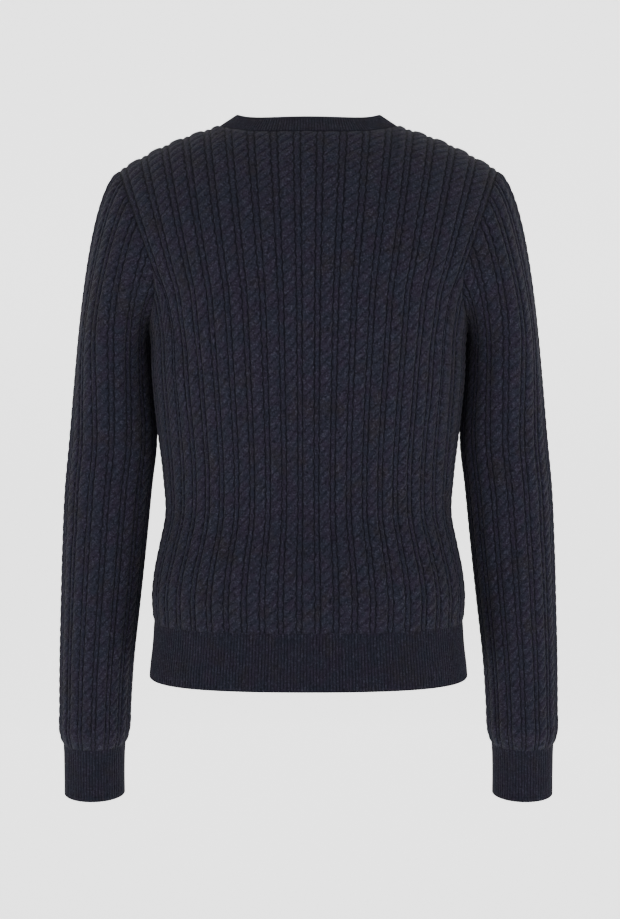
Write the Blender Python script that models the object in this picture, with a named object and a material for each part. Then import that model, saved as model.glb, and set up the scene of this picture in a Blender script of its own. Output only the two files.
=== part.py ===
"""A crew-neck cable-knit cardigan, buttoned and filled out as if it were worn.

The front faces -Y, the wearer's left is +X and up is +Z. The origin is the middle of
the neck at the height of the shoulders' high points. Sizes are millimetres, and the
meshes are written in metres. Every form below is the cloth's plain inner face: the
cables and ribs are raised outwards from it.
"""
from collections import namedtuple
from math import cos, pi, radians, sin, tan

import bmesh
import bpy
import numpy as np

MM = 0.001
SEAM = 0.3              # gap between two pieces that are sewn together
ARMHOLE_SEAM = 0.4      # the same at the armhole, whose two edges curve

# The cloth: a plain wall in the purl grooves, with cables and ribs standing on it.
WALL = 1.4
CABLE_RISE = 1.4
RIB_RISE = 0.9
SEAM_RISE = 0.35        # share of the rise that is left where a seam pulls the cloth in
FINE_WALL = 1.5         # the ribbed bands
FINE_RISE = 0.5
GROOVE = 0.32           # from a cable's middle to the purl groove beside it, in repeats

# The knit's repeats (one cable and one rib) are counted from the middle of the body.
SIDE_REPEAT = 11.68     # the side seam, in a groove
ARM_REPEAT = 8.68       # the column that runs up the armhole to the shoulder's tip
NECK_REPEAT = 4.0       # the column that ends at the side of the neck
NECK_CORNER = (3.84, 3.95, 3.99)    # three more that round the neck's corner
FRONT_REPEAT = 0.68     # the column that runs up beside the button band
SLEEVE_REPEATS = 16

# Shoulder, neck and armhole.
SIDE_NECK = 88.0        # half the width of the neck
NECK_HEIGHT = -4.6
RIDGE_RISE = 15.0       # how far the line of the shoulders would rise to the middle
TIP_X = 184.0
TIP_HEIGHT = -46.8
SHOULDER_CROWN = 4.2    # how far the shoulder stands above a straight slope
BACK_NECK = -18.0
FRONT_NECK = -80.0
YOKE = -144.0           # where the armhole turns from the shoulder to the underarm
UNDERARM = -200.0
LAP = 1.25              # how far the two fronts part to lie over each other
LAP_SPREAD = 70.0

# The hem and its ribbing.
HEM = -538.0
HEM_SAG = {1: 6.0, -1: 3.0}
HEM_RIB = 54.0
HALF_HEM = 392.0        # from one side seam round to the other
HEM_PITCH = 2.9         # one rib and its groove

# Ribbed bands of the neck, cuffs and fronts.
NECKBAND = 22.0
NECK_PITCH = 2.75
NECK_EVENING = 17       # steps over which the neckband's lean is evened out
CUFF_PITCH = 2.75
BAND_HALF = 14.0
BAND_RIBS = 10

# Buttons.
BUTTONS = 7
TOP_BUTTON = -72.0
LOW_BUTTON = -518.0
BUTTON_SIDES = 14
Turn = namedtuple("Turn", "radius lift")
BUTTON_PROFILE = [
    Turn(6.7, 0.0),
    Turn(7.5, 1.6),
    Turn(6.3, 2.8),
    Turn(4.7, 2.0),
]

KNIT_COLOUR = (0.019, 0.018, 0.029)
BAND_COLOUR = (0.017, 0.017, 0.027)
BUTTON_COLOUR = (0.012, 0.011, 0.016)

Section = namedtuple("Section", "height half_width back_depth front_depth squareness")
BODY = [
    Section(-552, 154.0, 97.0, 100.0, 2.30),
    Section(-529, 152.6, 96.5, 99.5, 2.30),
    Section(-508, 150.2, 95.6, 98.6, 2.30),
    Section(-484, 149.0, 95.4, 98.4, 2.30),
    Section(-460, 150.2, 97.0, 100.2, 2.30),
    Section(-436, 147.8, 96.0, 99.5, 2.28),
    Section(-410, 142.6, 92.8, 97.5, 2.25),
    Section(-383, 137.4, 89.5, 96.0, 2.22),
    Section(-345, 139.4, 91.0, 98.5, 2.22),
    Section(-300, 144.8, 97.0, 106.5, 2.27),
    Section(-250, 149.8, 103.0, 114.0, 2.33),
    Section(-200, 153.2, 107.0, 117.0, 2.40),
    Section(-172, 163.0, 108.0, 112.5, 2.25),
    Section(-144, 185.0, 107.2, 104.0, 2.10),
    Section(-100, 213.0, 100.5, 86.5, 2.00),
    Section(-60, 225.0, 94.0, 74.0, 2.00),
    Section(-16, 228.0, 92.5, 66.0, 2.00),
    Section(16, 228.0, 93.0, 64.0, 2.00),
]

# How a panel differs between the back (+1) and the front (-1): the turn of the armhole
# round from the side, the depth over which the shoulder rounds off, and the knit's
# first column with its place across.
Panel = namedtuple("Panel", "side arm_turn rounding first_repeat first_x")
BACK = Panel(1, radians(38.2), 120.0, 0.0, 0.0)
FRONT = Panel(-1, radians(41.2), 110.0, FRONT_REPEAT, BAND_HALF + SEAM)

# Rows of the knit, as shares of the way up each block of a panel.
LOW_ROWS = (0.0, 0.08, 0.18, 0.30, 0.44, 0.62, 0.81, 1.0)
HIGH_ROWS = (0.36, 0.66, 0.86, 0.96, 1.0)
LEVEL_SHARE = 0.3       # rows are level up to here, then drop to the underarm

# The sleeve below the underarm, by the heights of its sections.
Station = namedtuple("Station", "height middle_x middle_y half_width half_depth")
ARM = [
    Station(-225, 191.4, -5.0, 33.0, 54.6),
    Station(-262, 191.8, -7.0, 36.4, 48.0),
    Station(-309, 192.2, -9.0, 40.6, 42.0),
    Station(-353, 196.8, -11.0, 40.4, 40.8),
    Station(-411, 201.4, -15.0, 39.0, 39.2),
    Station(-470, 206.0, -21.0, 36.8, 37.2),
    Station(-529, 210.6, -28.0, 34.4, 34.8),
    Station(-575, 212.9, -34.0, 33.2, 33.6),
    Station(-598, 213.8, -37.2, 32.6, 33.0),
    Station(-611, 214.2, -39.0, 29.4, 29.8),
    Station(-636, 214.7, -42.5, 28.2, 28.4),
    Station(-663, 214.9, -46.2, 28.2, 28.6),
]
BICEP = -225.0
WRIST = -611.0
CUFF_END = -663.0
FOREARM_TILT = tan(radians(8))
CAP_ROWS = (0.0, 0.2, 0.42, 0.7, 1.0)
ARM_ROWS = (-265, -315, -375, -440, -510, -575, -600, -611)

# The fold along the armhole seam: how far the sleeve turns outwards from the body's
# surface, by the share of the way from the underarm up to the shoulder's tip.
Fold = namedtuple("Fold", "share turn")
ARMHOLE_FOLD = [
    Fold(0.0, 72),
    Fold(0.12, 70),
    Fold(0.28, 52),
    Fold(0.5, 32),
    Fold(0.76, 14),
    Fold(1.0, -12),
]


def clear_scene():
    for thing in list(bpy.data.objects):
        bpy.data.objects.remove(thing, do_unlink=True)


def finish(name, colour, roughness):
    """The plain material of one sub-part."""
    material = bpy.data.materials.new(name)
    material.use_nodes = True
    shader = material.node_tree.nodes["Principled BSDF"]
    shader.inputs["Base Color"].default_value = (*colour, 1)
    shader.inputs["Roughness"].default_value = roughness
    shader.inputs["Metallic"].default_value = 0
    return material


def smooth_step(share):
    share = np.clip(share, 0, 1)
    return share * share * (3 - 2 * share)


def along(table, column, place):
    """A column of a table at a place, on a smooth curve through the table's rows."""
    places = np.array([row[0] for row in table], float)
    values = np.array([getattr(row, column) for row in table], float)
    slopes = np.gradient(values, places)
    place = np.asarray(place, float)
    i = np.clip(np.searchsorted(places, place) - 1, 0, len(places) - 2)
    span = places[i + 1] - places[i]
    t = (place - places[i]) / span
    rise = t * t * (3 - 2 * t)
    bend = t * (1 - t) ** 2 * slopes[i] - t * t * (1 - t) * slopes[i + 1]
    return values[i] * (1 - rise) + values[i + 1] * rise + span * bend


def along_down(table, column, place):
    """The same for a table whose rows run downwards."""
    return along(table[::-1], column, place)


def unit(vectors):
    return vectors / np.linalg.norm(vectors, axis=-1, keepdims=True)


# --- The torso's form -----------------------------------------------------------------

def ridge(x):
    """Height of the line along the tops of the shoulders."""
    x = np.abs(x)
    slope = (x - SIDE_NECK) / (TIP_X - SIDE_NECK)
    shoulder = NECK_HEIGHT + (TIP_HEIGHT - NECK_HEIGHT) * slope + SHOULDER_CROWN * np.sin(pi * slope)
    neck = NECK_HEIGHT + RIDGE_RISE * (1 - (x / SIDE_NECK) ** 2)
    return np.where(x < SIDE_NECK, neck, shoulder)


def rounding(panel, x, z):
    """Share of the full depth that is left where the shoulder rounds off to its ridge."""
    below = np.clip((ridge(x) - z) / panel.rounding, 0, 1)
    return np.sqrt(np.clip(1 - (1 - below) ** 2, 0, 1))


def full_depth(panel, z):
    return along(BODY, "back_depth" if panel.side > 0 else "front_depth", z)


def depth_at(panel, x, z):
    """Distance of the form behind or before the plane of the side seams."""
    power = along(BODY, "squareness", z)
    reach = np.clip(1 - (np.abs(x) / along(BODY, "half_width", z)) ** power, 0, 1)
    return SEAM / 2 + full_depth(panel, z) * reach ** (1 / power) * rounding(panel, x, z)


def turn_to_x(turn, z):
    """Where the section at a height lies across, at a turn round from the side."""
    return along(BODY, "half_width", z) * np.cos(turn) ** (2 / along(BODY, "squareness", z))


def lap(panel, x):
    """How far the fronts part at the opening: the wearer's right lies over the left."""
    if panel.side > 0:
        return np.zeros_like(x)
    return np.sign(x) * LAP * smooth_step((LAP_SPREAD - np.abs(x)) / (LAP_SPREAD - 20))


def place_on(panel, x, depth, z):
    """Points of the form from their place across, their depth and their height."""
    return np.stack([x, panel.side * depth + lap(panel, x), z], axis=-1)


def outward(panel, points):
    """The torso's outward directions, from the slope of its implicit form."""
    def form(x, depth, z):
        power = along(BODY, "squareness", z)
        deep = full_depth(panel, z) * np.maximum(rounding(panel, x, z), 0.05)
        return (np.abs(x) / along(BODY, "half_width", z)) ** power + (depth / deep) ** power

    x = points[:, 0]
    depth = np.maximum(depth_at(panel, x, points[:, 2]) - SEAM / 2, 1e-3)
    z = points[:, 2]
    step = 0.5
    slopes = np.stack([
        form(x + step, depth, z) - form(x - step, depth, z),
        panel.side * (form(x, depth + step, z) - form(x, np.maximum(depth - step, 0), z)),
        form(x, depth, z + step) - form(x, depth, z - step),
    ], axis=-1)
    return unit(slopes)


def neck_height(panel, x):
    """Height of the neck seam at a place across."""
    share = np.clip(np.abs(x) / SIDE_NECK, 0, 1)
    if panel.side > 0:
        return BACK_NECK + (NECK_HEIGHT - BACK_NECK) * share ** 4.2
    return NECK_HEIGHT + (FRONT_NECK - NECK_HEIGHT) * (1 - share ** 2.4) ** 0.75


def arm_x(panel, z):
    """The straight upper part of the armhole, from the yoke line to the tip."""
    yoke_x = turn_to_x(panel.arm_turn, YOKE)
    return yoke_x + (TIP_X - yoke_x) * (z - YOKE) / (TIP_HEIGHT - YOKE)


def low_top(panel, turn):
    """Upper edge of a panel's lower block: level, then a rounded drop to the underarm."""
    share = np.clip(turn / panel.arm_turn, 0, 1)
    return YOKE + (UNDERARM - YOKE) * (1 - share ** 1.82) ** 0.8


def hem_height(panel, turn):
    return HEM - HEM_SAG[panel.side] * (1 - (1 - np.sin(turn)) ** 2)


def share_across(panel, repeats, arm_share):
    """Share of the way from a panel's first column to the side seam, for each repeat."""
    stops = (panel.first_repeat, ARM_REPEAT, SIDE_REPEAT)
    return np.interp(repeats, stops, (0, arm_share, 1))


def section_turns(panel, height_of_turn, repeats, arm_share):
    """Turns at which the knit's columns cross a row, at equal spaces along the cloth."""
    turns = np.linspace(pi / 2, 0, 240)
    z = height_of_turn(turns)
    x = turn_to_x(turns, z)
    reach = np.sin(turns) ** (2 / along(BODY, "squareness", z))
    depth = SEAM / 2 + full_depth(panel, z) * reach * rounding(panel, x, z)
    steps = np.linalg.norm(np.diff(np.stack([x, depth, z], -1), axis=0), axis=1)
    length = np.concatenate([[0], np.cumsum(steps)])
    start = np.interp(panel.first_x, x, length)
    if arm_share is None:
        at_arm = np.interp(-panel.arm_turn, -turns, length)
        arm_share = (at_arm - start) / (length[-1] - start)
    wanted = start + (length[-1] - start) * share_across(panel, repeats, arm_share)
    return np.interp(wanted, length, turns), arm_share


def low_height(panel, turn, share):
    """Height of a row in the lower block: level below, dropping towards the underarm."""
    bottom = hem_height(panel, turn) + HEM_RIB + SEAM / 2
    drop = (YOKE - low_top(panel, turn)) * smooth_step((share - LEVEL_SHARE) / (1 - LEVEL_SHARE))
    return bottom + (YOKE - bottom) * share - drop


def low_row(panel, repeats, share):
    """Inner points of a row of the lower block, for columns on the wearer's left."""
    _, at_yoke = section_turns(panel, lambda turn: low_top(panel, turn), repeats, None)
    even = (ARM_REPEAT - panel.first_repeat) / (SIDE_REPEAT - panel.first_repeat)
    arm_share = even + (at_yoke - even) * smooth_step(share)
    turns, _ = section_turns(panel, lambda turn: low_height(panel, turn, share), repeats, arm_share)
    turns = np.where(repeats == SIDE_REPEAT, 0, turns)
    z = low_height(panel, turns, share)
    x = np.where(repeats == panel.first_repeat, panel.first_x, turn_to_x(turns, z))
    reach = np.sin(turns) ** (2 / along(BODY, "squareness", z))
    depth = SEAM / 2 + full_depth(panel, z) * reach * rounding(panel, x, z)
    return place_on(panel, x, depth, z)


def high_row(panel, repeats, share):
    """Inner points of a row between the yoke line and the shoulder and neck."""
    base_x = low_row(panel, repeats, 1.0)[:, 0]
    neck = np.clip((repeats - panel.first_repeat) / (NECK_REPEAT - panel.first_repeat), 0, 1)
    if panel.side < 0:
        neck = 1 - (1 - neck) ** 1.3
    shoulder = np.clip((repeats - NECK_REPEAT) / (ARM_REPEAT - NECK_REPEAT), 0, 1)
    top_x = panel.first_x + (SIDE_NECK - panel.first_x) * neck + (TIP_X - SIDE_NECK) * shoulder
    top_z = np.where(top_x < SIDE_NECK, neck_height(panel, top_x), ridge(top_x))
    edge_z = YOKE + (TIP_HEIGHT - YOKE) * share
    edge_x = arm_x(panel, edge_z)
    start = panel.first_x
    base_share = (base_x - start) / (arm_x(panel, YOKE) - start)
    top_share = (top_x - start) / (TIP_X - start)
    x = start + (edge_x - start) * (base_share + (top_share - base_share) * share)
    z = YOKE + (top_z - YOKE) * share
    return place_on(panel, x, depth_at(panel, x, z), z)


def panel_row(panel, repeats, level):
    """Inner points and outward directions on a row; levels above 1 are past the yoke."""
    left = np.abs(repeats)
    points = low_row(panel, left, level) if level <= 1 else high_row(panel, left, level - 1)
    normals = outward(panel, points)
    on_ridge = (level == 2) & (left >= NECK_REPEAT)
    slope = (ridge(points[:, 0] + 0.5) - ridge(points[:, 0] - 0.5))
    up_ridge = unit(np.stack([-slope, np.zeros_like(slope), np.ones_like(slope)], -1))
    normals = np.where(on_ridge[:, None], up_ridge, normals)
    if level == 0:
        normals[:, 2] = 0
    if panel.side < 0:
        normals[left == panel.first_repeat, 0] = 0
    normals[left == SIDE_REPEAT, 1] = 0
    mirror = np.stack([np.where(repeats < 0, -1, 1), np.ones_like(left), np.ones_like(left)], -1)
    if panel.side < 0:
        lift = lap(panel, points[:, 0])
        points[:, 1] -= lift - np.where(repeats < 0, -lift, lift)
    return points * mirror, unit(normals) * mirror


# --- Walls of cloth -------------------------------------------------------------------

def outline(rows):
    """Grid places round the edge of a panel whose upper rows may be narrower."""
    loop = [(0, column) for column in rows[0]]
    for j in range(1, len(rows)):
        loop += [(j - 1, c) for c in reversed(rows[j - 1]) if rows[j][-1] <= c < rows[j - 1][-1]]
        loop.append((j, rows[j][-1]))
    top = len(rows) - 1
    loop += [(top, c) for c in reversed(rows[top][:-1])]
    for j in reversed(range(top)):
        loop.append((j, rows[j + 1][0]))
        loop += [(j, c) for c in reversed(rows[j]) if c < rows[j + 1][0]]
    return loop[:-1]


def close_rim(mesh, outer, inner, loop):
    """Join the outer and the inner face along a closed edge of the cloth."""
    last = loop[0]
    for here, beyond in zip(loop, loop[1:] + loop[:1]):
        if beyond in inner:
            mesh.faces.new((outer[here], outer[beyond], inner[beyond], inner[last]))
            last = beyond
        else:
            mesh.faces.new((outer[here], outer[beyond], inner[last]))


def cloth(name, rows, kept, place, material, tube=False):
    """One closed piece of cloth with raised outer points over a plain inside.

    rows holds each row's columns, kept the places that the plain inside has, and
    place gives the inner points, outward directions and thicknesses of a row.
    """
    mesh = bmesh.new()
    outer, inner = {}, {}
    for j, columns in enumerate(rows):
        points, normals, thickness = place(j, np.array(columns))
        raised = points + normals * thickness[:, None]
        for column, low, high in zip(columns, points, raised):
            outer[j, column] = mesh.verts.new(high * MM)
            if kept(j, column):
                inner[j, column] = mesh.verts.new(low * MM)
    for face in (outer, inner):
        for j in range(len(rows) - 1):
            shared = [c for c in rows[j] if (j, c) in face and (j + 1, c) in face]
            for a, b in zip(shared, shared[1:]):
                low = [face[j, c] for c in rows[j] if a <= c <= b and (j, c) in face]
                high = [face[j + 1, c] for c in rows[j + 1] if a <= c <= b and (j + 1, c) in face]
                mesh.faces.new(low + high[::-1])
            if tube:
                a, b = shared[-1], shared[0]
                mesh.faces.new((face[j, a], face[j, b], face[j + 1, b], face[j + 1, a]))
    if tube:
        close_rim(mesh, outer, inner, [(0, c) for c in rows[0]])
        close_rim(mesh, outer, inner, [(len(rows) - 1, c) for c in rows[-1]])
    else:
        close_rim(mesh, outer, inner, outline(rows))
    bmesh.ops.triangulate(mesh, faces=mesh.faces[:])
    bmesh.ops.recalc_face_normals(mesh, faces=mesh.faces[:])
    return add_object(name, mesh, material)


def add_object(name, mesh, material):
    if mesh.calc_volume(signed=True) < 0:
        bmesh.ops.reverse_faces(mesh, faces=mesh.faces[:])
    data = bpy.data.meshes.new(name)
    mesh.to_mesh(data)
    mesh.free()
    data.materials.append(material)
    data.shade_smooth()
    data.set_sharp_from_angle(angle=radians(40))
    thing = bpy.data.objects.new(name, data)
    bpy.context.scene.collection.objects.link(thing)
    return thing


def cable_rise(repeats):
    """Height of the knit above its grooves: cables at whole repeats, ribs between."""
    part = np.abs(repeats) % 1
    return np.interp(part, (0, GROOVE, 0.5, 1 - GROOVE, 1), (CABLE_RISE, 0, RIB_RISE, 0, CABLE_RISE))


def knit_columns(first, last):
    """The knit's columns from one repeat to another: cable, groove, rib, groove."""
    columns = set()
    for repeat in range(int(first) - 2, int(last) + 3):
        columns |= {repeat, round(repeat + GROOVE, 2), repeat + 0.5, round(repeat + 1 - GROOVE, 2)}
    if last <= SIDE_REPEAT:
        columns |= {side * corner for corner in NECK_CORNER for side in (-1, 1)}
    return sorted(c for c in columns if first <= c <= last)


def inner_columns(columns):
    """Columns that the plain inside keeps: the outer groove of each repeat."""
    grooves = {c for c in columns if abs(abs(c) % 1 - (1 - GROOVE)) < 0.01}
    return grooves | {c for c in columns if abs(c) == NECK_REPEAT} | {columns[0], columns[-1]}


def every(step, last):
    """Keeps each column of that step, and the last one."""
    return lambda j, column: column % step == 0 or column == last


def fine_rise(columns):
    """Height of the fine ribbing: ribs at odd columns, grooves at even ones."""
    return FINE_RISE * (columns % 2)


# --- Body panels ----------------------------------------------------------------------

def body_levels():
    return list(LOW_ROWS) + [1 + share for share in HIGH_ROWS]


def body_panel(name, panel, first, last, material):
    """A knitted panel from the hem's ribbing up to the shoulder and the neck."""
    levels = body_levels()
    low_columns = knit_columns(first, last)
    high_columns = [c for c in low_columns if abs(c) <= ARM_REPEAT]
    rows = [low_columns if level <= 1 else high_columns for level in levels]

    def place(j, repeats):
        points, normals = panel_row(panel, repeats, levels[j])
        at_armhole = (levels[j] == 1) & (np.abs(repeats) >= ARM_REPEAT)
        at_seam = at_armhole | (levels[j] in (0, 2))
        return points, normals, WALL + cable_rise(repeats) * np.where(at_seam, SEAM_RISE, 1)

    coarse = inner_columns(low_columns)

    def kept(j, column):
        at_neck = levels[j] == 2 and abs(column) <= NECK_REPEAT
        at_arm = levels[j] == 1 and abs(column) >= ARM_REPEAT
        return column in coarse or at_neck or at_arm

    return cloth(name, rows, kept, place, material)


def hem_ribbing(name, panel, sides, material):
    """The ribbed band that hangs from a panel's lower edge.

    sides is the range of the panel's repeats, and the band has one rib to each
    HEM_PITCH of its length.
    """
    start, end = sides
    length = abs(end - start) / (2 * SIDE_REPEAT) * HALF_HEM
    ribs = int(round(length / HEM_PITCH))
    columns = list(range(2 * ribs + 1))

    def place(j, fine):
        repeats = np.round(start + (end - start) * fine / columns[-1], 6)
        row, normals = hem_row(panel, repeats, j)
        return row, normals, FINE_WALL + fine_rise(fine)

    return cloth(name, [columns, columns], every(12, columns[-1]), place, material)


def hem_row(panel, repeats, j):
    """The lower or upper edge of the hem's ribbing at given repeats of the panel."""
    left = np.abs(repeats)
    turns, _ = section_turns(panel, lambda turn: hem_height(panel, turn), left,
                             (ARM_REPEAT - panel.first_repeat) / (SIDE_REPEAT - panel.first_repeat))
    turns = np.where(left == SIDE_REPEAT, 0, turns)
    z = hem_height(panel, turns) + j * (HEM_RIB - SEAM / 2)
    x = np.where(left == panel.first_repeat, panel.first_x, turn_to_x(turns, z))
    if panel.side > 0:
        x = np.where(left == 0, 0, x)
    points = place_on(panel, x, depth_at_turn(panel, turns, x, z), z)
    normals = outward(panel, points)
    normals[:, 2] = 0
    normals[left == SIDE_REPEAT, 1] = 0
    if panel.side < 0:
        normals[left == panel.first_repeat, 0] = 0
        lift = lap(panel, points[:, 0])
        points[:, 1] -= lift - np.where(repeats < 0, -lift, lift)
    mirror = np.stack([np.where(repeats < 0, -1, 1), np.ones_like(left), np.ones_like(left)], -1)
    return points * mirror, unit(normals) * mirror


def depth_at_turn(panel, turns, x, z):
    reach = np.sin(turns) ** (2 / along(BODY, "squareness", z))
    return SEAM / 2 + full_depth(panel, z) * reach * rounding(panel, x, z)


# --- Edges that the sleeves and the neckband are sewn to ------------------------------

def edge_frames(points, normals, inside):
    """Unit directions that leave the cloth's edge along its own surface.

    inside is a point well beyond the edge, on the side that they lead to.
    """
    steps = unit(np.diff(points, axis=0))
    run = np.concatenate([steps[:1], steps[:-1] + steps[1:], steps[-1:]])
    away = unit(np.cross(run, normals))
    towards = np.sum(away * (inside - points), axis=1)
    return away * np.sign(np.median(towards))


def armhole_half(panel):
    """The wearer's left armhole edge on one panel, from the underarm up to the tip."""
    arm_columns = np.array(knit_columns(ARM_REPEAT, SIDE_REPEAT)[::-1])
    stretches = [panel_row(panel, arm_columns, 1.0)]
    for level in body_levels():
        if level > 1:
            stretches.append(panel_row(panel, np.array([ARM_REPEAT]), level))
    return tuple(np.concatenate(kind) for kind in zip(*stretches))


def resample(points, values, shares):
    """Values at shares of the length of a polyline."""
    steps = np.linalg.norm(np.diff(points, axis=0), axis=1)
    length = np.concatenate([[0], np.cumsum(steps)])
    length /= length[-1]
    return np.stack([np.interp(shares, length, values[:, k]) for k in range(3)], -1)


def armhole_ring(shares):
    """The edge, its normals and the way off it, by the share of the way round.

    Shares run from the underarm over the back to the tip at one half, and down the
    front to the underarm again.
    """
    edges = []
    for panel in (BACK, FRONT):
        points, normals = armhole_half(panel)
        points[[0, -1], 1] = 0
        away = edge_frames(points, normals, np.array([400.0, 0, -100]))
        away[0] = (0, 0, 1)
        up = 2 * np.where(shares <= 0.5, shares, 1 - shares)
        edges.append([resample(points, values, up) for values in (points, normals, away)])
    on_back = (shares <= 0.5)[:, None]
    edge, normal, away = (np.where(on_back, b, f) for b, f in zip(*edges))
    normal = unit(normal)
    away = unit(away - normal * np.sum(away * normal, axis=1, keepdims=True))
    return edge, normal, away


# --- Sleeves --------------------------------------------------------------------------

def arm_ring(height, shares):
    """Points round the sleeve at a height, from its inner side over the back."""
    half_width, half_depth = (along_down(ARM, c, height) for c in ("half_width", "half_depth"))
    dense = np.linspace(0, 2 * pi, 361)
    oval = np.stack([-half_width * np.cos(dense), half_depth * np.sin(dense)], -1)
    steps = np.linalg.norm(np.diff(oval, axis=0), axis=1)
    length = np.concatenate([[0], np.cumsum(steps)])
    angle = np.interp(shares * length[-1], length, dense)
    x = along_down(ARM, "middle_x", height) - half_width * np.cos(angle)
    y = half_depth * np.sin(angle)
    tilt = FOREARM_TILT * smooth_step((BICEP - height) / 150)
    return np.stack([x, y + along_down(ARM, "middle_y", height), height - tilt * y], -1)


def cap_pull(up):
    """How much further the cloth runs straight on from the seam: most at the tip."""
    return 12 * (1 - up) ** 6 + 48 * up ** 3


def sleeve_cap(shares, level):
    """Points between the armhole and the first full ring, on one curve per column."""
    edge, normal, away = armhole_ring(shares)
    up = 2 * np.where(shares <= 0.5, shares, 1 - shares)
    fold = np.radians(along(ARMHOLE_FOLD, "turn", up))[:, None]
    clear = ARMHOLE_SEAM + (WALL + CABLE_RISE * SEAM_RISE) * np.maximum(np.sin(fold), 0)
    start = edge + away * clear
    leave = np.cos(fold) * away + np.sin(fold) * normal
    end = arm_ring(BICEP, shares)
    arrive = unit(arm_ring(BICEP - 2, shares) - end)
    chord = np.linalg.norm(end - start, axis=1, keepdims=True)
    t = level
    points = (start * (1 - t) ** 2 * (1 + 2 * t) + end * t * t * (3 - 2 * t)
              + leave * (10 + 0.25 * chord + cap_pull(up)[:, None]) * t * (1 - t) ** 2
              - arrive * (45 + 0.6 * chord) * t * t * (1 - t))
    return points, np.cos(fold) * normal - np.sin(fold) * away


def sleeve_points(shares, level):
    """Inner points of the sleeve: levels 0 to 1 are the cap, 1 to 2 go to the wrist."""
    shares = shares % 1
    if level <= 1:
        return sleeve_cap(shares, level)[0]
    return arm_ring(BICEP + (WRIST - BICEP) * (level - 1), shares)


def sleeve_normals(shares, level):
    if level == 0:
        return unit(sleeve_cap(shares, 0)[1])
    if level in (1, 2):
        low, high = (level, level + 0.02) if level == 1 else (level - 0.02, level)
    else:
        low, high = level - 0.02, level + 0.02
    down = sleeve_points(shares, high) - sleeve_points(shares, low)
    if level == 2:
        down = np.array([[0, -FOREARM_TILT, -1]]) * np.ones((len(shares), 1))
    round_ = sleeve_points(shares + 0.004, level) - sleeve_points(shares - 0.004, level)
    return unit(np.cross(round_, down))


def side_of(points, side):
    """Turns points or directions of the wearer's left into those of the other side."""
    return points * np.array([side, 1, 1])


def sleeve(name, side, material):
    levels = list(CAP_ROWS) + [1 + (BICEP - height) / (BICEP - WRIST) for height in ARM_ROWS]
    columns = [round(c + GROOVE, 2) for c in knit_columns(-GROOVE, SLEEVE_REPEATS - GROOVE)][:-1]

    def place(j, repeats):
        shares = repeats / SLEEVE_REPEATS
        rise = cable_rise(repeats - GROOVE) * (SEAM_RISE if j in (0, len(levels) - 1) else 1)
        points = sleeve_points(shares, levels[j])
        return side_of(points, side), side_of(sleeve_normals(shares, levels[j]), side), WALL + rise

    def kept(j, column):
        return abs(column - round(column)) < 0.01

    return cloth(name, [columns] * len(levels), kept, place, material, tube=True)


def cuff(name, side, material):
    """The ribbed end of a sleeve, a slightly tapered tube."""
    around = 2 * pi * 29
    ribs = int(round(around / CUFF_PITCH))
    columns = list(range(2 * ribs))
    heights = (WRIST - SEAM, CUFF_END)

    def place(j, fine):
        shares = fine / len(columns)
        points = arm_ring(heights[j], shares)
        ahead, behind = (arm_ring(heights[j], (shares + step) % 1) for step in (0.004, -0.004))
        axis = np.array([[0, -FOREARM_TILT, -1]]) * np.ones((len(fine), 1))
        normals = unit(np.cross(ahead - behind, axis))
        return side_of(points, side), side_of(normals, side), FINE_WALL + fine_rise(fine)

    return cloth(name, [columns] * 2, every(8, 0), place, material, tube=True)


# --- Neckband -------------------------------------------------------------------------

def neck_edge():
    """The neck seam from the wearer's left front round the back to the right front."""
    front = np.array(knit_columns(FRONT_REPEAT, NECK_REPEAT))
    back = np.array(knit_columns(-NECK_REPEAT, NECK_REPEAT)[::-1])
    stretches = [
        panel_row(FRONT, front, 2.0),
        panel_row(BACK, back[1:-1], 2.0),
        panel_row(FRONT, -front[::-1], 2.0),
    ]
    points, normals = (np.concatenate(kind) for kind in zip(*stretches))
    points[[len(front) - 1, -len(front)], 1] = 0
    return smooth_frames(points, normals)


def smooth_frames(points, normals):
    """The neck seam at even steps, its normals and the way off it, evened out."""
    steps = np.linspace(0, 1, 141)
    seam = resample(points, points, steps)
    window = np.hanning(NECK_EVENING + 2)[1:-1]
    edge = NECK_EVENING // 2

    def even(values):
        wide = np.pad(values, ((edge, edge), (0, 0)), mode="edge")
        return np.stack([np.convolve(wide[:, k], window, mode="valid") for k in range(3)], -1)

    run = unit(even(np.gradient(seam, axis=0)))
    normal = even(unit(resample(points, normals, steps)))
    normal = unit(normal - run * np.sum(normal * run, axis=1, keepdims=True))
    away = np.cross(run, normal)
    away *= np.sign(away[70, 2])
    off_band = smooth_step(np.minimum(steps, 1 - steps) / 0.06)
    normal[:, 0] *= off_band
    away[:, 0] *= off_band
    return seam, unit(normal), unit(away)


def neck_turn(points):
    """How far the neckband stands up from the body's surface, most at the sides."""
    return np.radians(2 + 15 * np.exp(-(points[:, 1] / 30) ** 2))[:, None]


def neckband(name, material):
    points, normals, away = neck_edge()
    length = np.sum(np.linalg.norm(np.diff(points, axis=0), axis=1))
    ribs = int(round(length / NECK_PITCH))
    columns = list(range(2 * ribs + 1))

    def place(j, fine):
        shares = fine / columns[-1]
        edge, normal, off = (resample(points, values, shares) for values in (points, normals, away))
        normal, off = unit(normal), unit(off)
        turn = neck_turn(edge)
        upwards = np.cos(turn) * off + np.sin(turn) * normal
        outwards = np.cos(turn) * normal - np.sin(turn) * off
        outwards[[0, -1], 0] = 0
        clear = SEAM + (FINE_WALL + FINE_RISE) * np.sin(turn)
        base = edge + off * clear + upwards * (NECKBAND * j)
        return base, unit(outwards), FINE_WALL + fine_rise(fine)

    return cloth(name, [columns, columns], every(4, columns[-1]), place, material)


# --- Button bands and buttons ---------------------------------------------------------

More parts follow.
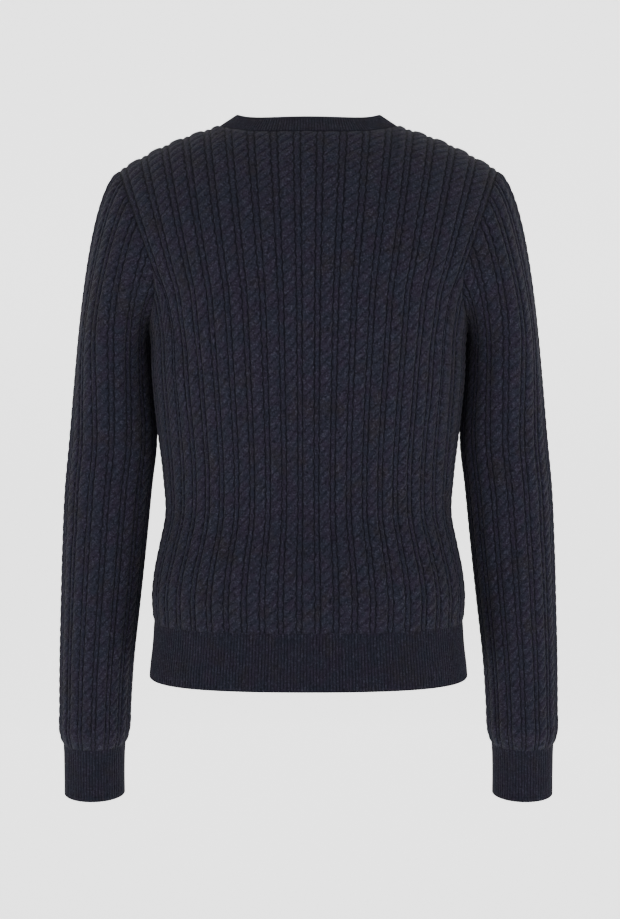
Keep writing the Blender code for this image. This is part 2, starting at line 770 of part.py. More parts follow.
def band_path():
    """Heights and depths up the middle of the front, then up the end of the neckband."""
    levels = body_levels()[::2]
    low = hem_height(FRONT, pi / 2)
    rows = [(low, depth_at(FRONT, np.array([FRONT.first_x]), np.array([low]))[0])]
    for level in levels:
        points, _ = panel_row(FRONT, np.array([FRONT_REPEAT]), level)
        rows.append((points[0, 2], -(points[0, 1] - LAP)))
    points, normals, away = neck_edge()
    turn = neck_turn(points[:1])
    lean = (np.cos(turn) * away[:1] + np.sin(turn) * normals[:1])[0]
    height, depth = rows[-1]
    rows.append((height + NECKBAND * lean[2], depth - NECKBAND * lean[1]))
    return rows


def button_band(name, side, material):
    """The ribbed strip up one front edge; the wearer's right one (-1) lies on top."""
    path = band_path()
    columns = list(range(2 * BAND_RIBS + 1))
    slopes = np.gradient(np.array([depth for _, depth in path]), np.array([z for z, _ in path]))

    def place(j, fine):
        height, depth = path[j]
        x = -BAND_HALF + 2 * BAND_HALF * fine / columns[-1]
        y = -depth + side * LAP + 0 * x
        out = unit(np.array([[0, -1, -slopes[j]]])) * np.ones((len(fine), 1))
        return np.stack([x, y, height + 0 * x], -1), out, FINE_WALL + fine_rise(fine)

    return cloth(name, [columns] * len(path), every(BAND_RIBS, 0), place, material)


def button(name, height, material):
    """A turned button with a raised rim, lying on the outer button band."""
    path = band_path()
    heights = [z for z, _ in path]
    depths = [depth for _, depth in path]
    depth = np.interp(height, heights, depths)
    slope = (np.interp(height + 4, heights, depths) - np.interp(height - 4, heights, depths)) / 8
    out = unit(np.array([0, -1, -slope]))
    across = np.array([1.0, 0, 0])
    up = np.cross(across, out)
    foot = np.array([0, -depth - LAP, height]) + out * (FINE_WALL + FINE_RISE + SEAM + 0.1)
    mesh = bmesh.new()
    rings = []
    for turn in BUTTON_PROFILE:
        ring = []
        for k in range(BUTTON_SIDES):
            angle = 2 * pi * k / BUTTON_SIDES
            spoke = across * cos(angle) + up * sin(angle)
            ring.append(mesh.verts.new((foot + out * turn.lift + spoke * turn.radius) * MM))
        rings.append(ring)
    for low, high in zip(rings, rings[1:]):
        for k in range(BUTTON_SIDES):
            n = (k + 1) % BUTTON_SIDES
            mesh.faces.new((low[k], low[n], high[n], high[k]))
    mesh.faces.new(rings[0][::-1])
    mesh.faces.new(rings[-1])
    bmesh.ops.recalc_face_normals(mesh, faces=mesh.faces[:])
    return add_object(name, mesh, material)


# --- The whole garment ----------------------------------------------------------------

clear_scene()
knit = finish("cable_knit", KNIT_COLOUR, 0.9)
ribbing = finish("fine_ribbing", BAND_COLOUR, 0.9)
shell = finish("button_plastic", BUTTON_COLOUR, 0.35)

body_panel("back", BACK, -SIDE_REPEAT, SIDE_REPEAT, knit)
body_panel("front_left", FRONT, FRONT_REPEAT, SIDE_REPEAT, knit)
body_panel("front_right", FRONT, -SIDE_REPEAT, -FRONT_REPEAT, knit)
hem_ribbing("hem_rib_back", BACK, (-SIDE_REPEAT, SIDE_REPEAT), ribbing)
hem_ribbing("hem_rib_front_left", FRONT, (FRONT_REPEAT, SIDE_REPEAT), ribbing)
hem_ribbing("hem_rib_front_right", FRONT, (-SIDE_REPEAT, -FRONT_REPEAT), ribbing)
for side, word in ((1, "left"), (-1, "right")):
    sleeve("sleeve_" + word, side, knit)
    cuff("cuff_" + word, side, ribbing)
    button_band("button_band_" + word, side, ribbing)
neckband("neckband", ribbing)
for number in range(BUTTONS):
    share = number / (BUTTONS - 1)
    button("button_%d" % (number + 1), TOP_BUTTON + (LOW_BUTTON - TOP_BUTTON) * share, shell)
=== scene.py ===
"""A crew-neck cable-knit cardigan in heathered dark navy wool, buttoned and filled out.

The front faces -Y, the wearer's left is +X and up is +Z; the origin is the middle of the
neck. Sizes are millimetres unless a name says otherwise, and meshes are written in
metres. Pieces meet along their seams, on the inner face of the cloth. The file follows
the making: back, fronts, sleeves, ribbed hem, cuffs, neckband, button bands, buttons,
and then the studio.
"""
from collections import namedtuple
from math import cos, pi, radians, sin, tan

import bmesh
import bpy
import numpy as np
from bmesh.types import BMEdge, BMVert
from mathutils import Matrix, Vector


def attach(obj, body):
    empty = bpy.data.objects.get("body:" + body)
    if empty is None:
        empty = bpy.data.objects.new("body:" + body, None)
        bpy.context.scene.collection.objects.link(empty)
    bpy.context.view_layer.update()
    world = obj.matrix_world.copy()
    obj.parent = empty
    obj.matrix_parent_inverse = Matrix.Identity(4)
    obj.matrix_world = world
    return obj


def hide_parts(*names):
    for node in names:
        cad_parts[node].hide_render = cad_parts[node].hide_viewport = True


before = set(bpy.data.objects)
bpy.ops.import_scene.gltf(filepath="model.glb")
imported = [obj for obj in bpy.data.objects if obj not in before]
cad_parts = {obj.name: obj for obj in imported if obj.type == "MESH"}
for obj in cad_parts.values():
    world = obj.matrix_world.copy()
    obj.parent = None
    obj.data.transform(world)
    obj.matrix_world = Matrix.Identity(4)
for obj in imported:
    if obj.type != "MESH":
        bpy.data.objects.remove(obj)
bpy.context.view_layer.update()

# --- Back panel ---
# One piece of cable knit in fine lambswool from the hem's ribbing to the shoulders: a
# two-strand rope cable, a purl groove, a plain rib and a groove again. It is knitted to
# shape and linked to its neighbours, and every edge rolls in a little at its seam.

MM = 0.001
SIDES = ((1, "left"), (-1, "right"))
SIDE_NECK = 88.0
NECK_HEIGHT = -4.6
RIDGE_RISE = 15.0
TIP_X = 184.0
TIP_HEIGHT = -46.8
SHOULDER_CROWN = 4.2
BACK_NECK = -18.0
FRONT_NECK = -80.0
YOKE = -144.0           # where the armhole turns from the shoulder to the underarm
UNDERARM = -200.0
LAP = 1.25              # the fronts part by this where they lie over each other
LAP_SPREAD = 70.0       # and meet again this far from the middle
LAP_FLAT = 20.0
BACK_NECK_CURVE = 4.2
FRONT_NECK_CURVE = (2.4, 0.75)
FRONT_NECK_SPREAD = 1.3
ARMHOLE_CURVE = (1.82, 0.8)
HEM = -538.0
HEM_SAG = {1: 6.0, -1: 3.0}
HEM_RIB = 54.0
BAND_HALF = 14.0

# The knit is counted in repeats of a cable and a rib, from the middle of the body.
SIDE_REPEAT = 11.68
ARM_REPEAT = 8.68
NECK_REPEAT = 4.0
FRONT_REPEAT = 0.68
LEVEL_SHARE = 0.3
TURN_STEPS = 240

Section = namedtuple("Section", "height half_width back_depth front_depth squareness")
BODY = [Section(*row) for row in (
    (-552, 154.0, 97.0, 100.0, 2.30), (-529, 152.6, 96.5, 99.5, 2.30),
    (-508, 150.2, 95.6, 98.6, 2.30), (-484, 149.0, 95.4, 98.4, 2.30),
    (-460, 150.2, 97.0, 100.2, 2.30), (-436, 147.8, 96.0, 99.5, 2.28),
    (-410, 142.6, 92.8, 97.5, 2.25), (-383, 137.4, 89.5, 96.0, 2.22),
    (-345, 139.4, 91.0, 98.5, 2.22), (-300, 144.8, 97.0, 106.5, 2.27),
    (-250, 149.8, 103.0, 114.0, 2.33), (-200, 153.2, 107.0, 117.0, 2.40),
    (-172, 163.0, 108.0, 112.5, 2.25), (-144, 185.0, 107.2, 104.0, 2.10),
    (-100, 213.0, 100.5, 86.5, 2.00), (-60, 225.0, 94.0, 74.0, 2.00),
    (-16, 228.0, 92.5, 66.0, 2.00), (16, 228.0, 93.0, 64.0, 2.00),
)]
Panel = namedtuple("Panel", "side arm_turn rounding first_repeat first_x")
BACK = Panel(1, radians(38.2), 120.0, 0.0, 0.0)
FRONT = Panel(-1, radians(41.2), 110.0, FRONT_REPEAT, BAND_HALF)


def smooth_step(share):
    share = np.clip(share, 0, 1)
    return share * share * (3 - 2 * share)


def along(table, column, place):
    """A column of a table at a place, on a smooth curve through the table's rows."""
    places = np.array([row[0] for row in table], float)
    values = np.array([getattr(row, column) for row in table], float)
    slopes = np.gradient(values, places)
    place = np.asarray(place, float)
    i = np.clip(np.searchsorted(places, place) - 1, 0, len(places) - 2)
    span = places[i + 1] - places[i]
    t = (place - places[i]) / span
    rise = t * t * (3 - 2 * t)
    bend = t * (1 - t) ** 2 * slopes[i] - t * t * (1 - t) * slopes[i + 1]
    return values[i] * (1 - rise) + values[i + 1] * rise + span * bend


def rounded(off, powers):
    """A profile that falls from 1 in the middle to 0 at 1, as its two powers say."""
    return np.clip(1 - off ** powers[0], 0, 1) ** powers[1]


def unit(vectors):
    return vectors / np.linalg.norm(vectors, axis=-1, keepdims=True)


def at_places(places, known, values):
    """Vectors at places, from those at known places along a line."""
    return np.stack([np.interp(places, known, values[:, k]) for k in range(3)], -1)


def running_length(points):
    """Length along a line of points, up to each of them."""
    steps = np.linalg.norm(np.diff(points, axis=0), axis=1)
    return np.concatenate([[0], np.cumsum(steps)])


def ridge(x):
    """Height of the line along the tops of the shoulders."""
    x = np.abs(x)
    slope = (x - SIDE_NECK) / (TIP_X - SIDE_NECK)
    shoulder = NECK_HEIGHT + (TIP_HEIGHT - NECK_HEIGHT) * slope
    shoulder = shoulder + SHOULDER_CROWN * np.sin(pi * slope)
    neck = NECK_HEIGHT + RIDGE_RISE * (1 - (x / SIDE_NECK) ** 2)
    return np.where(x < SIDE_NECK, neck, shoulder)


def rounding(panel, x, z):
    """Share of the full depth that is left where the shoulder rounds off to its ridge."""
    below = np.clip((ridge(x) - z) / panel.rounding, 0, 1)
    return np.sqrt(np.clip(1 - (1 - below) ** 2, 0, 1))


def full_depth(panel, z):
    return along(BODY, "back_depth" if panel.side > 0 else "front_depth", z)


def depth_at(panel, x, z):
    power = along(BODY, "squareness", z)
    reach = rounded(np.abs(x) / along(BODY, "half_width", z), (power, 1 / power))
    return full_depth(panel, z) * reach * rounding(panel, x, z)


def turn_to_x(turn, z):
    return along(BODY, "half_width", z) * np.cos(turn) ** (2 / along(BODY, "squareness", z))


def depth_at_turn(panel, turns, x, z):
    reach = np.sin(turns) ** (2 / along(BODY, "squareness", z))
    return full_depth(panel, z) * reach * rounding(panel, x, z)


def lap(panel, x):
    """How far the fronts part at the opening: the wearer's right lies over the left."""
    if panel.side > 0:
        return np.zeros_like(x)
    return np.sign(x) * LAP * smooth_step((LAP_SPREAD - np.abs(x)) / (LAP_SPREAD - LAP_FLAT))


def place_on(panel, x, depth, z):
    return np.stack([x, panel.side * depth + lap(panel, x), z], axis=-1)


def outward(panel, points):
    """The body's outward directions, from the slope of its implicit form."""
    def form(x, depth, z):
        power = along(BODY, "squareness", z)
        deep = full_depth(panel, z) * np.maximum(rounding(panel, x, z), 0.05)
        return (np.abs(x) / along(BODY, "half_width", z)) ** power + (depth / deep) ** power

    x, z = points[:, 0], points[:, 2]
    depth = np.maximum(depth_at(panel, x, z), 1e-3)
    step = 0.5
    slopes = np.stack([
        form(x + step, depth, z) - form(x - step, depth, z),
        panel.side * (form(x, depth + step, z) - form(x, np.maximum(depth - step, 0), z)),
        form(x, depth, z + step) - form(x, depth, z - step),
    ], axis=-1)
    return unit(slopes)


def neck_height(panel, x):
    share = np.clip(np.abs(x) / SIDE_NECK, 0, 1)
    if panel.side > 0:
        return BACK_NECK + (NECK_HEIGHT - BACK_NECK) * share ** BACK_NECK_CURVE
    return NECK_HEIGHT + (FRONT_NECK - NECK_HEIGHT) * rounded(share, FRONT_NECK_CURVE)


def arm_x(panel, z):
    yoke_x = turn_to_x(panel.arm_turn, YOKE)
    return yoke_x + (TIP_X - yoke_x) * (z - YOKE) / (TIP_HEIGHT - YOKE)


def low_top(panel, turn):
    share = np.clip(turn / panel.arm_turn, 0, 1)
    return YOKE + (UNDERARM - YOKE) * rounded(share, ARMHOLE_CURVE)


def hem_height(panel, turn):
    return HEM - HEM_SAG[panel.side] * (1 - (1 - np.sin(turn)) ** 2)


def section_turns(panel, height_of_turn, repeats, arm_share):
    """Turns at which the knit's columns cross a row, at equal spaces along the cloth."""
    turns = np.linspace(pi / 2, 0, TURN_STEPS)
    z = height_of_turn(turns)
    x = turn_to_x(turns, z)
    length = running_length(np.stack([x, depth_at_turn(panel, turns, x, z), z], -1))
    start = np.interp(panel.first_x, x, length)
    if arm_share is None:
        at_arm = np.interp(-panel.arm_turn, -turns, length)
        arm_share = (at_arm - start) / (length[-1] - start)
    stops = (panel.first_repeat, ARM_REPEAT, SIDE_REPEAT)
    wanted = start + (length[-1] - start) * np.interp(repeats, stops, (0, arm_share, 1))
    return np.interp(wanted, length, turns), arm_share


def low_height(panel, turn, share):
    """Height of a row below the yoke: level, then dropping towards the underarm."""
    bottom = hem_height(panel, turn) + HEM_RIB
    drop = (YOKE - low_top(panel, turn)) * smooth_step((share - LEVEL_SHARE) / (1 - LEVEL_SHARE))
    return bottom + (YOKE - bottom) * share - drop


def even_share(panel):
    """Share of a panel's width that is short of the armhole, evenly spread."""
    return (ARM_REPEAT - panel.first_repeat) / (SIDE_REPEAT - panel.first_repeat)


def points_at(panel, repeats, turns, height_of_turn):
    """Inner points at a row's turns, exactly on the side seam and the first column."""
    turns = np.where(np.isclose(repeats, SIDE_REPEAT), 0, turns)
    z = height_of_turn(turns)
    x = np.where(np.isclose(repeats, panel.first_repeat), panel.first_x, turn_to_x(turns, z))
    return place_on(panel, x, depth_at_turn(panel, turns, x, z), z)


def low_row(panel, repeats, share):
    def height(turn):
        return low_height(panel, turn, share)

    _, at_yoke = section_turns(panel, lambda turn: low_top(panel, turn), repeats, None)
    arm_share = even_share(panel) + (at_yoke - even_share(panel)) * smooth_step(share)
    turns, _ = section_turns(panel, height, repeats, arm_share)
    return points_at(panel, repeats, turns, height)


def high_row(panel, repeats, share):
    base_x = low_row(panel, repeats, 1.0)[:, 0]
    start = panel.first_x
    neck = np.clip((repeats - panel.first_repeat) / (NECK_REPEAT - panel.first_repeat), 0, 1)
    if panel.side < 0:
        neck = 1 - (1 - neck) ** FRONT_NECK_SPREAD
    shoulder = np.clip((repeats - NECK_REPEAT) / (ARM_REPEAT - NECK_REPEAT), 0, 1)
    top_x = start + (SIDE_NECK - start) * neck + (TIP_X - SIDE_NECK) * shoulder
    top_z = np.where(top_x < SIDE_NECK, neck_height(panel, top_x), ridge(top_x))
    edge_x = arm_x(panel, YOKE + (TIP_HEIGHT - YOKE) * share)
    base_share = (base_x - start) / (arm_x(panel, YOKE) - start)
    top_share = (top_x - start) / (TIP_X - start)
    x = start + (edge_x - start) * (base_share + (top_share - base_share) * share)
    z = YOKE + (top_z - YOKE) * share
    return place_on(panel, x, depth_at(panel, x, z), z)


def both_halves(panel, repeats, points, normals):
    """A row from its right half: the places left of the middle are mirrored."""
    left = np.abs(repeats)
    if panel.side < 0:
        normals[np.isclose(left, panel.first_repeat), 0] = 0
        lift = lap(panel, points[:, 0])
        points[:, 1] -= lift - np.where(repeats < 0, -lift, lift)
    normals[np.isclose(left, SIDE_REPEAT), 1] = 0
    mirror = np.where(repeats < 0, -1, 1)[:, None] * (1, 0, 0) + (0, 1, 1)
    return points * mirror, unit(normals) * mirror


def panel_row(panel, repeats, level):
    """Inner points and outward directions on a row; levels above 1 are past the yoke."""
    left = np.abs(repeats)
    points = low_row(panel, left, level) if level <= 1 else high_row(panel, left, level - 1)
    normals = outward(panel, points)
    slope = ridge(points[:, 0] + 0.5) - ridge(points[:, 0] - 0.5)
    up_ridge = unit(np.stack([-slope, np.zeros_like(slope), np.ones_like(slope)], -1))
    on_ridge = smooth_step((level - 1.97) / 0.03) * (left >= NECK_REPEAT)
    normals = normals + (up_ridge - normals) * on_ridge[:, None]
    if level == 0:
        normals[:, 2] = 0
    return both_halves(panel, repeats, points, normals)


# Relief of the knit. Places across are counted in repeats to the right as seen from
# outside, with a cable's middle at each whole number; heights are counted in crossings
# of the cable's strands, which climb to the right on every piece.
WALL = 1.4
CABLE_HALF = 0.32       # half a cable's width, in repeats
CABLE_RISE = 1.75
STRAND_DIP = 0.58       # how deep the crease between two strands is
RIB_RISE = 0.9
RIB_INSET = 0.06
STRAND_ROUND = (2.6, 1.0)
CABLE_ROUND = (3.0, 0.6)
RIB_ROUND = (2.2, 0.7)
CREASE_ROUND = (2, 1.5)
REPEAT_WIDTH = 16.5
CROSSING = 10.1         # height from one crossing of the strands to the next
TWIST = 1.55            # crossings that a strand climbs on its way over the cable
UNEVEN = 0.13           # how far neighbouring cables are out of step
STEP_OUT = 5 * pi / 8
PINCH = 7.0             # length over which an end seam flattens the knit
SIDE_PINCH = 3.0
SEAM_RISE = 0.3
ROLL = 1.3              # width of cloth that rolls in at a seam
ROLL_LEFT = 0.45
CREASE_FADE = 22.0      # length over which the creases die out at a seam
LAY_FADE = 2.0          # crossings over which the strands' rows turn level at an edge
ROWS_EACH = 5           # rows of points to a crossing
BESIDE_EDGE = (0, 0.02, 0.05)   # columns close to an edge, in repeats
COLUMN_GAP = 0.012
TOUCH = 1e-6            # places that are this near are the same
STATIONS = (-0.32, -0.285, -0.22, -0.14, -0.05, 0.05, 0.14, 0.22, 0.285, 0.32,
            0.38, 0.43, 0.5, 0.57, 0.62)


def above_seam(share):
    """Share of the relief that stands, from a seam to the open cloth."""
    return SEAM_RISE + (1 - SEAM_RISE) * share


def knit_columns(first, last, extra=()):
    """Columns of points from one place across to another, closer beside the edges."""
    columns = {place for inset in BESIDE_EDGE for place in (first + inset, last - inset)}
    columns |= set(extra)
    for repeat in range(int(first) - 2, int(last) + 3):
        columns |= {round(repeat + station, 4) for station in STATIONS}
    kept = []
    for column in sorted(c for c in columns if first - TOUCH <= c <= last + TOUCH):
        if not kept or column - kept[-1] > COLUMN_GAP:
            kept.append(column)
    return np.array(kept)


def lay(across):
    """How far the strands' rows lie above the panel's own rows, in crossings."""
    cable = np.floor(across + CABLE_HALF + TOUCH)
    part = across - cable
    climb = np.arcsin(np.clip(part / CABLE_HALF, -1, 1)) / pi
    on_rib = np.clip((part - CABLE_HALF) / (1 - 2 * CABLE_HALF), 0, 1)
    step = np.sin(cable * STEP_OUT) * (1 - on_rib) + np.sin((cable + 1) * STEP_OUT) * on_rib
    return TWIST * (climb - on_rib) - UNEVEN * step


def knit_rise(across, strand):
    """Height of the knit above its grooves, from the place across and in the strand."""
    off_cable = np.abs(across - np.round(across)) / CABLE_HALF
    crown = rounded(np.abs(2 * np.mod(strand, 1) - 1), STRAND_ROUND)
    cable = CABLE_RISE * rounded(off_cable, CABLE_ROUND) * (1 - STRAND_DIP * (1 - crown))
    off_rib = np.abs(np.mod(across, 1) - 0.5) / (0.5 - CABLE_HALF - RIB_INSET)
    return np.where(off_cable < 1, cable, RIB_RISE * rounded(off_rib, RIB_ROUND))


# Soft creases lie along short lines: a trough where the depth is negative, else a ridge.
Crease = namedtuple("Crease", "across up length lean width depth")


def crease_lift(creases, across, up):
    lift = np.zeros(np.broadcast(across, up).shape)
    for crease in (Crease(*row) for row in creases):
        run, climb = cos(radians(crease.lean)), sin(radians(crease.lean))
        ahead = (across - crease.across) * run + (up - crease.up) * climb
        aside = (up - crease.up) * run - (across - crease.across) * climb
        reach = rounded(ahead / (crease.length / 2), CREASE_ROUND)
        lift += crease.depth * reach * np.exp(-(aside / crease.width) ** 2)
    return lift


def knit_table(points, normals, even, crossings):
    """A column's heights, points and directions: even rows first, then true lengths."""
    past = running_length(points[even:])[1:] / CROSSING
    heights = np.concatenate([np.linspace(0, crossings, even + 1), crossings + past])
    return heights, points, normals


def knit_block(columns, rows, base, to_end, to_side, creases):
    """A block of the knit in relief: its points, its places, and its plain form.

    rows holds each column's heights in crossings, base its table of heights, inner
    points and outward directions, and to_end and to_side the distances to the seams.
    """
    bare = np.empty((len(rows), len(columns), 3))
    out = np.empty_like(bare)
    for c, (heights, points, normals) in enumerate(base):
        bare[:, c] = at_places(rows[:, c], heights, points)
        out[:, c] = at_places(rows[:, c], heights, normals)
    out = unit(out)
    across = np.broadcast_to(columns, rows.shape)
    strand = rows - lay(across)
    nearest = np.minimum(to_end, to_side)
    flat = np.minimum(smooth_step(to_end / PINCH), smooth_step(to_side / SIDE_PINCH))
    rise = knit_rise(across, strand) * above_seam(flat)
    near = np.clip(nearest / ROLL, 0, 1)
    rolled = ROLL_LEFT + (1 - ROLL_LEFT) * np.sqrt(1 - (1 - near) ** 2)
    folds = crease_lift(creases, across * REPEAT_WIDTH, rows * CROSSING)
    thick = (WALL + rise) * rolled + folds * smooth_step(nearest / CREASE_FADE)
    # The distance to the nearest seam goes into the strand map, for painted shade along the seams.
    seam = np.broadcast_to(nearest, rows.shape)
    places = {"knit": np.stack([across, rows], -1), "strand": np.stack([strand, seam], -1)}
    return bare + out * thick[..., None], places, bare


def only(things, kind):
    return [thing for thing in things if isinstance(thing, kind)]


def write_mesh(name, mesh):
    """Mesh data that takes over what was modelled."""
    data = bpy.data.meshes.new(name)
    mesh.to_mesh(data)
    mesh.free()
    return data


def add_object(name, data):
    made = bpy.data.objects.new(name, data)
    bpy.context.scene.collection.objects.link(made)
    return made


def cloth_sheet(name, blocks):
    """A sheet of cloth: grids whose points are moved onto their form, then joined.

    Every block has its points and its places by the name of their map.
    """
    whole = bmesh.new()
    for points, places in blocks:
        rows, columns = points.shape[:2]
        grid = bmesh.new()
        bmesh.ops.create_grid(grid, x_segments=columns - 1, y_segments=rows - 1, size=1)
        data = write_mesh(name, grid)
        flat = np.empty(len(data.vertices) * 3, "f")
        data.vertices.foreach_get("co", flat)
        flat = flat.reshape(-1, 3)
        column = np.rint((flat[:, 0] + 1) / 2 * (columns - 1)).astype(int)
        row = np.rint((flat[:, 1] + 1) / 2 * (rows - 1)).astype(int)
        data.vertices.foreach_set("co", (points[row, column] * MM).astype("f").ravel())
        corner = np.empty(len(data.loops), "i")
        data.loops.foreach_get("vertex_index", corner)
        for label, place in places.items():
            layer = data.uv_layers.new(name=label)
            layer.data.foreach_set("uv", place[row[corner], column[corner]].astype("f").ravel())
        whole.from_mesh(data)
        bpy.data.meshes.remove(data)
    bmesh.ops.remove_doubles(whole, verts=whole.verts[:], dist=2e-6)
    data = write_mesh(name, whole)
    data.shade_smooth()
    return add_object(name, data)


def sheet_area(bare):
    """Area of the plain cloth under a block, in square metres."""
    cross = np.cross(bare[1:, 1:] - bare[:-1, :-1], bare[1:, :-1] - bare[:-1, 1:])
    return float(np.linalg.norm(cross, axis=-1).sum() / 2) * MM * MM


def run_length(points):
    """Length along a line of points, in metres."""
    return float(np.linalg.norm(np.diff(points, axis=0), axis=1).sum()) * MM


def operator(operation):
    """What an operator does to a value: it adds a Math node."""
    return lambda value, *others: value.finish.maths(operation, value, *others)


class Value:
    """A socket of a finish's nodes, which takes part in arithmetic."""

    def __init__(self, finish, socket):
        self.finish = finish
        self.socket = socket

    def __rsub__(self, other):
        return self.finish.maths("SUBTRACT", other, self)

    __add__ = __radd__ = operator("ADD")
    __sub__ = operator("SUBTRACT")
    __mul__ = __rmul__ = operator("MULTIPLY")
    __truediv__ = operator("DIVIDE")
    __pow__ = operator("POWER")
    __abs__ = operator("ABSOLUTE")
    __mod__ = operator("FLOORED_MODULO")


class Finish:
    """A node material, made by adding nodes before its one shader."""

    def __init__(self, name):
        self.material = bpy.data.materials.new(name)
        self.material.use_nodes = True
        self.tree = self.material.node_tree
        self.shader = self.tree.nodes["Principled BSDF"]

    def node(self, kind, settings=None, sockets=None, output=0):
        """Adds a node: its settings first, then the values or links of its sockets."""
        node = self.tree.nodes.new(kind)
        for name, setting in (settings or {}).items():
            setattr(node, name, setting)
        self.fill(node, sockets or {})
        return Value(self, node.outputs[output])

    def fill(self, node, sockets):
        for name, value in sockets.items():
            if isinstance(value, Value):
                self.tree.links.new(value.socket, node.inputs[name])
            else:
                node.inputs[name].default_value = value

    def maths(self, operation, *values):
        return self.node("ShaderNodeMath", {"operation": operation}, dict(enumerate(values)))

    def ramp(self, value, low, high):
        """0 at the low value, 1 at the high one, and smooth between them."""
        sockets = {0: value, 1: low, 2: high}
        return self.node("ShaderNodeMapRange", {"interpolation_type": "SMOOTHSTEP"}, sockets)

    def mix(self, share, first, second):
        sockets = {0: share, 6: first, 7: second}
        return self.node("ShaderNodeMix", {"data_type": "RGBA"}, sockets, 2)

    def place(self, label):
        """Both numbers of one of the piece's own maps."""
        uv = self.node("ShaderNodeUVMap", {"uv_map": label})
        return tuple(self.node("ShaderNodeSeparateXYZ", None, {0: uv}, k) for k in (0, 1))

    def noise(self, scale, detail=2.0, roughness=0.5):
        """Cloudy noise through the whole object, so many blots to the metre."""
        where = self.node("ShaderNodeTexCoord", output="Object")
        sockets = {"Vector": where, "Scale": scale, "Detail": detail, "Roughness": roughness}
        return self.node("ShaderNodeTexNoise", None, sockets)

    def blots(self, low, high, *noise):
        """Noise turned into blots: 0 at the low value and 1 at the high one."""
        return self.ramp(self.noise(*noise), low, high)

    def shade(self, **sockets):
        self.fill(self.shader, {name.replace("_", " "): value for name, value in sockets.items()})


COOL = (0.0072, 0.0083, 0.0148, 1)
WARM = (0.0096, 0.0072, 0.0146, 1)
DUSK = (0.0091, 0.0076, 0.0097, 1)
# The paler hairs' colour, which a painted highlight also mixes in.
PALE = (0.0360, 0.0345, 0.0520, 1)
# The darker hairs' colour, which is also the dark that painted shade mixes in.
DARK_HAIRS_AND_SHADE = (0.0012, 0.0013, 0.0034, 1)
COURSE = 1.25           # height of one row of stitches
WALE = 1.9              # width of one column of stitches on the plain rib
STRAND_WALES = 4.0
SLANT = 0.7071          # the cosine of the strands' slant
GROOVE_MIDDLE = 0.35    # the groove beside a cable, painted dark as shade, in repeats from its middle


def heather(finish, shadow, light=0.0):
    """Wool dyed before it was spun: cool and warm tufts with paler and darker hairs, a painted
    highlight by light, and painted shade by shadow.
    """
    tufts = finish.blots(0.36, 0.64, 62.0, 4.0, 0.6)
    dusk = finish.blots(0.50, 0.72, 41.0, 3.0, 0.6)
    hairs = finish.blots(0.50, 0.68, 520.0, 2.0, 0.8)
    pits = finish.blots(0.50, 0.33, 470.0, 2.0, 0.8)
    yarn = finish.mix(tufts, COOL, WARM)
    yarn = finish.mix(dusk * 0.8, yarn, DUSK)
    # light is a painted highlight, mixed towards the paler hairs' colour.
    yarn = finish.mix(hairs * 0.54 + light, yarn, PALE)
    yarn = finish.mix(pits * 0.85, yarn, DARK_HAIRS_AND_SHADE)
    # Painted shade, as much as shadow says.
    return finish.mix(shadow, yarn, DARK_HAIRS_AND_SHADE)


def stitches(wale, course):
    """Height of plain knitting: each stitch is a V, so the courses dip along a wale."""
    off_wale = abs(wale % 1.0 - 0.5) * 2.0
    loop = abs((course + off_wale * 0.55) % 1.0 - 0.5) * 2.0
    return (1.0 - off_wale ** 3.0) * (0.35 + 0.65 * loop)


def shade_wool(finish, shadow, height, light=0.0):
    """Matt wool whose stitches and fuzz are a bump, with painted shade and a painted highlight in
    its colour.
    """
    sockets = {"Strength": 0.55, "Distance": 0.0006, "Height": height}
    bump = finish.node("ShaderNodeBump", None, sockets)
    finish.shade(Base_Color=heather(finish, shadow, light), Roughness=0.95, Normal=bump,
                 Sheen_Weight=0.03, Sheen_Roughness=0.5, Specular_IOR_Level=0.08)
    return finish.material


def cable_knit_finish():
    """The cables' colour and stitches: painted shade in the grooves beside them, which swell with
    each crossing, softer painted shade in the creases between the strands and along the seams, a
    painted highlight on the strands' crowns, and stitches that follow the strands."""
    finish = Finish("cable_knit_wool")
    across, up = finish.place("knit")
    strand, seam = finish.place("strand")
    wobble = (finish.noise(330.0, 2.0, 0.6) - 0.5) * 0.11
    bulge = (abs((up + 0.25) % 1.0 - 0.5) - 0.25) * 0.15
    off_middle = abs((across + 0.5) % 1.0 - 0.5) + wobble + bulge
    on_cable = finish.ramp(off_middle, CABLE_HALF + 0.005, CABLE_HALF - 0.015)
    # The dark lines beside the cables are painted shade in the grooves.
    groove = 1.0 - finish.ramp(abs(off_middle - GROOVE_MIDDLE), 0.012, 0.055)
    # Painted shade in the creases between the strands.
    crease = (1.0 - finish.ramp(abs((strand + 0.5) % 1.0 - 0.5), 0.02, 0.17)) * on_cable
    # Painted shade along the seams, where the cloth rolls in.
    rolled = 1.0 - finish.ramp(seam, 0.6, 3.0)
    # A painted highlight on the crowns of the strands.
    crown = finish.ramp(abs((strand + 0.5) % 1.0 - 0.5), 0.18, 0.5) * on_cable
    # Painted shade in the grooves, in the creases and along the seams; the ribs between the cables
    # are also a little darker.
    shadow = groove * 0.85 + crease * 0.34 + rolled * 0.25 + (1.0 - on_cable) * 0.08
    shadow = finish.maths("MINIMUM", shadow, 1.0)
    along_strand = (across * REPEAT_WIDTH + up * CROSSING) * (SLANT / COURSE)
    rope = stitches(strand * STRAND_WALES, along_strand)
    plain = stitches(across * (REPEAT_WIDTH / WALE), up * (CROSSING / COURSE))
    relief = rope * on_cable + plain * (1.0 - on_cable)
    fuzz = finish.noise(520.0, 4.0, 0.75)
    height = relief * 0.5 + fuzz * 3.2 - crease * 0.4 - groove * 0.5
    # The crowns' painted highlight goes in as light.
    return shade_wool(finish, shadow, height, crown * 0.04)


cable_wool = cable_knit_finish()

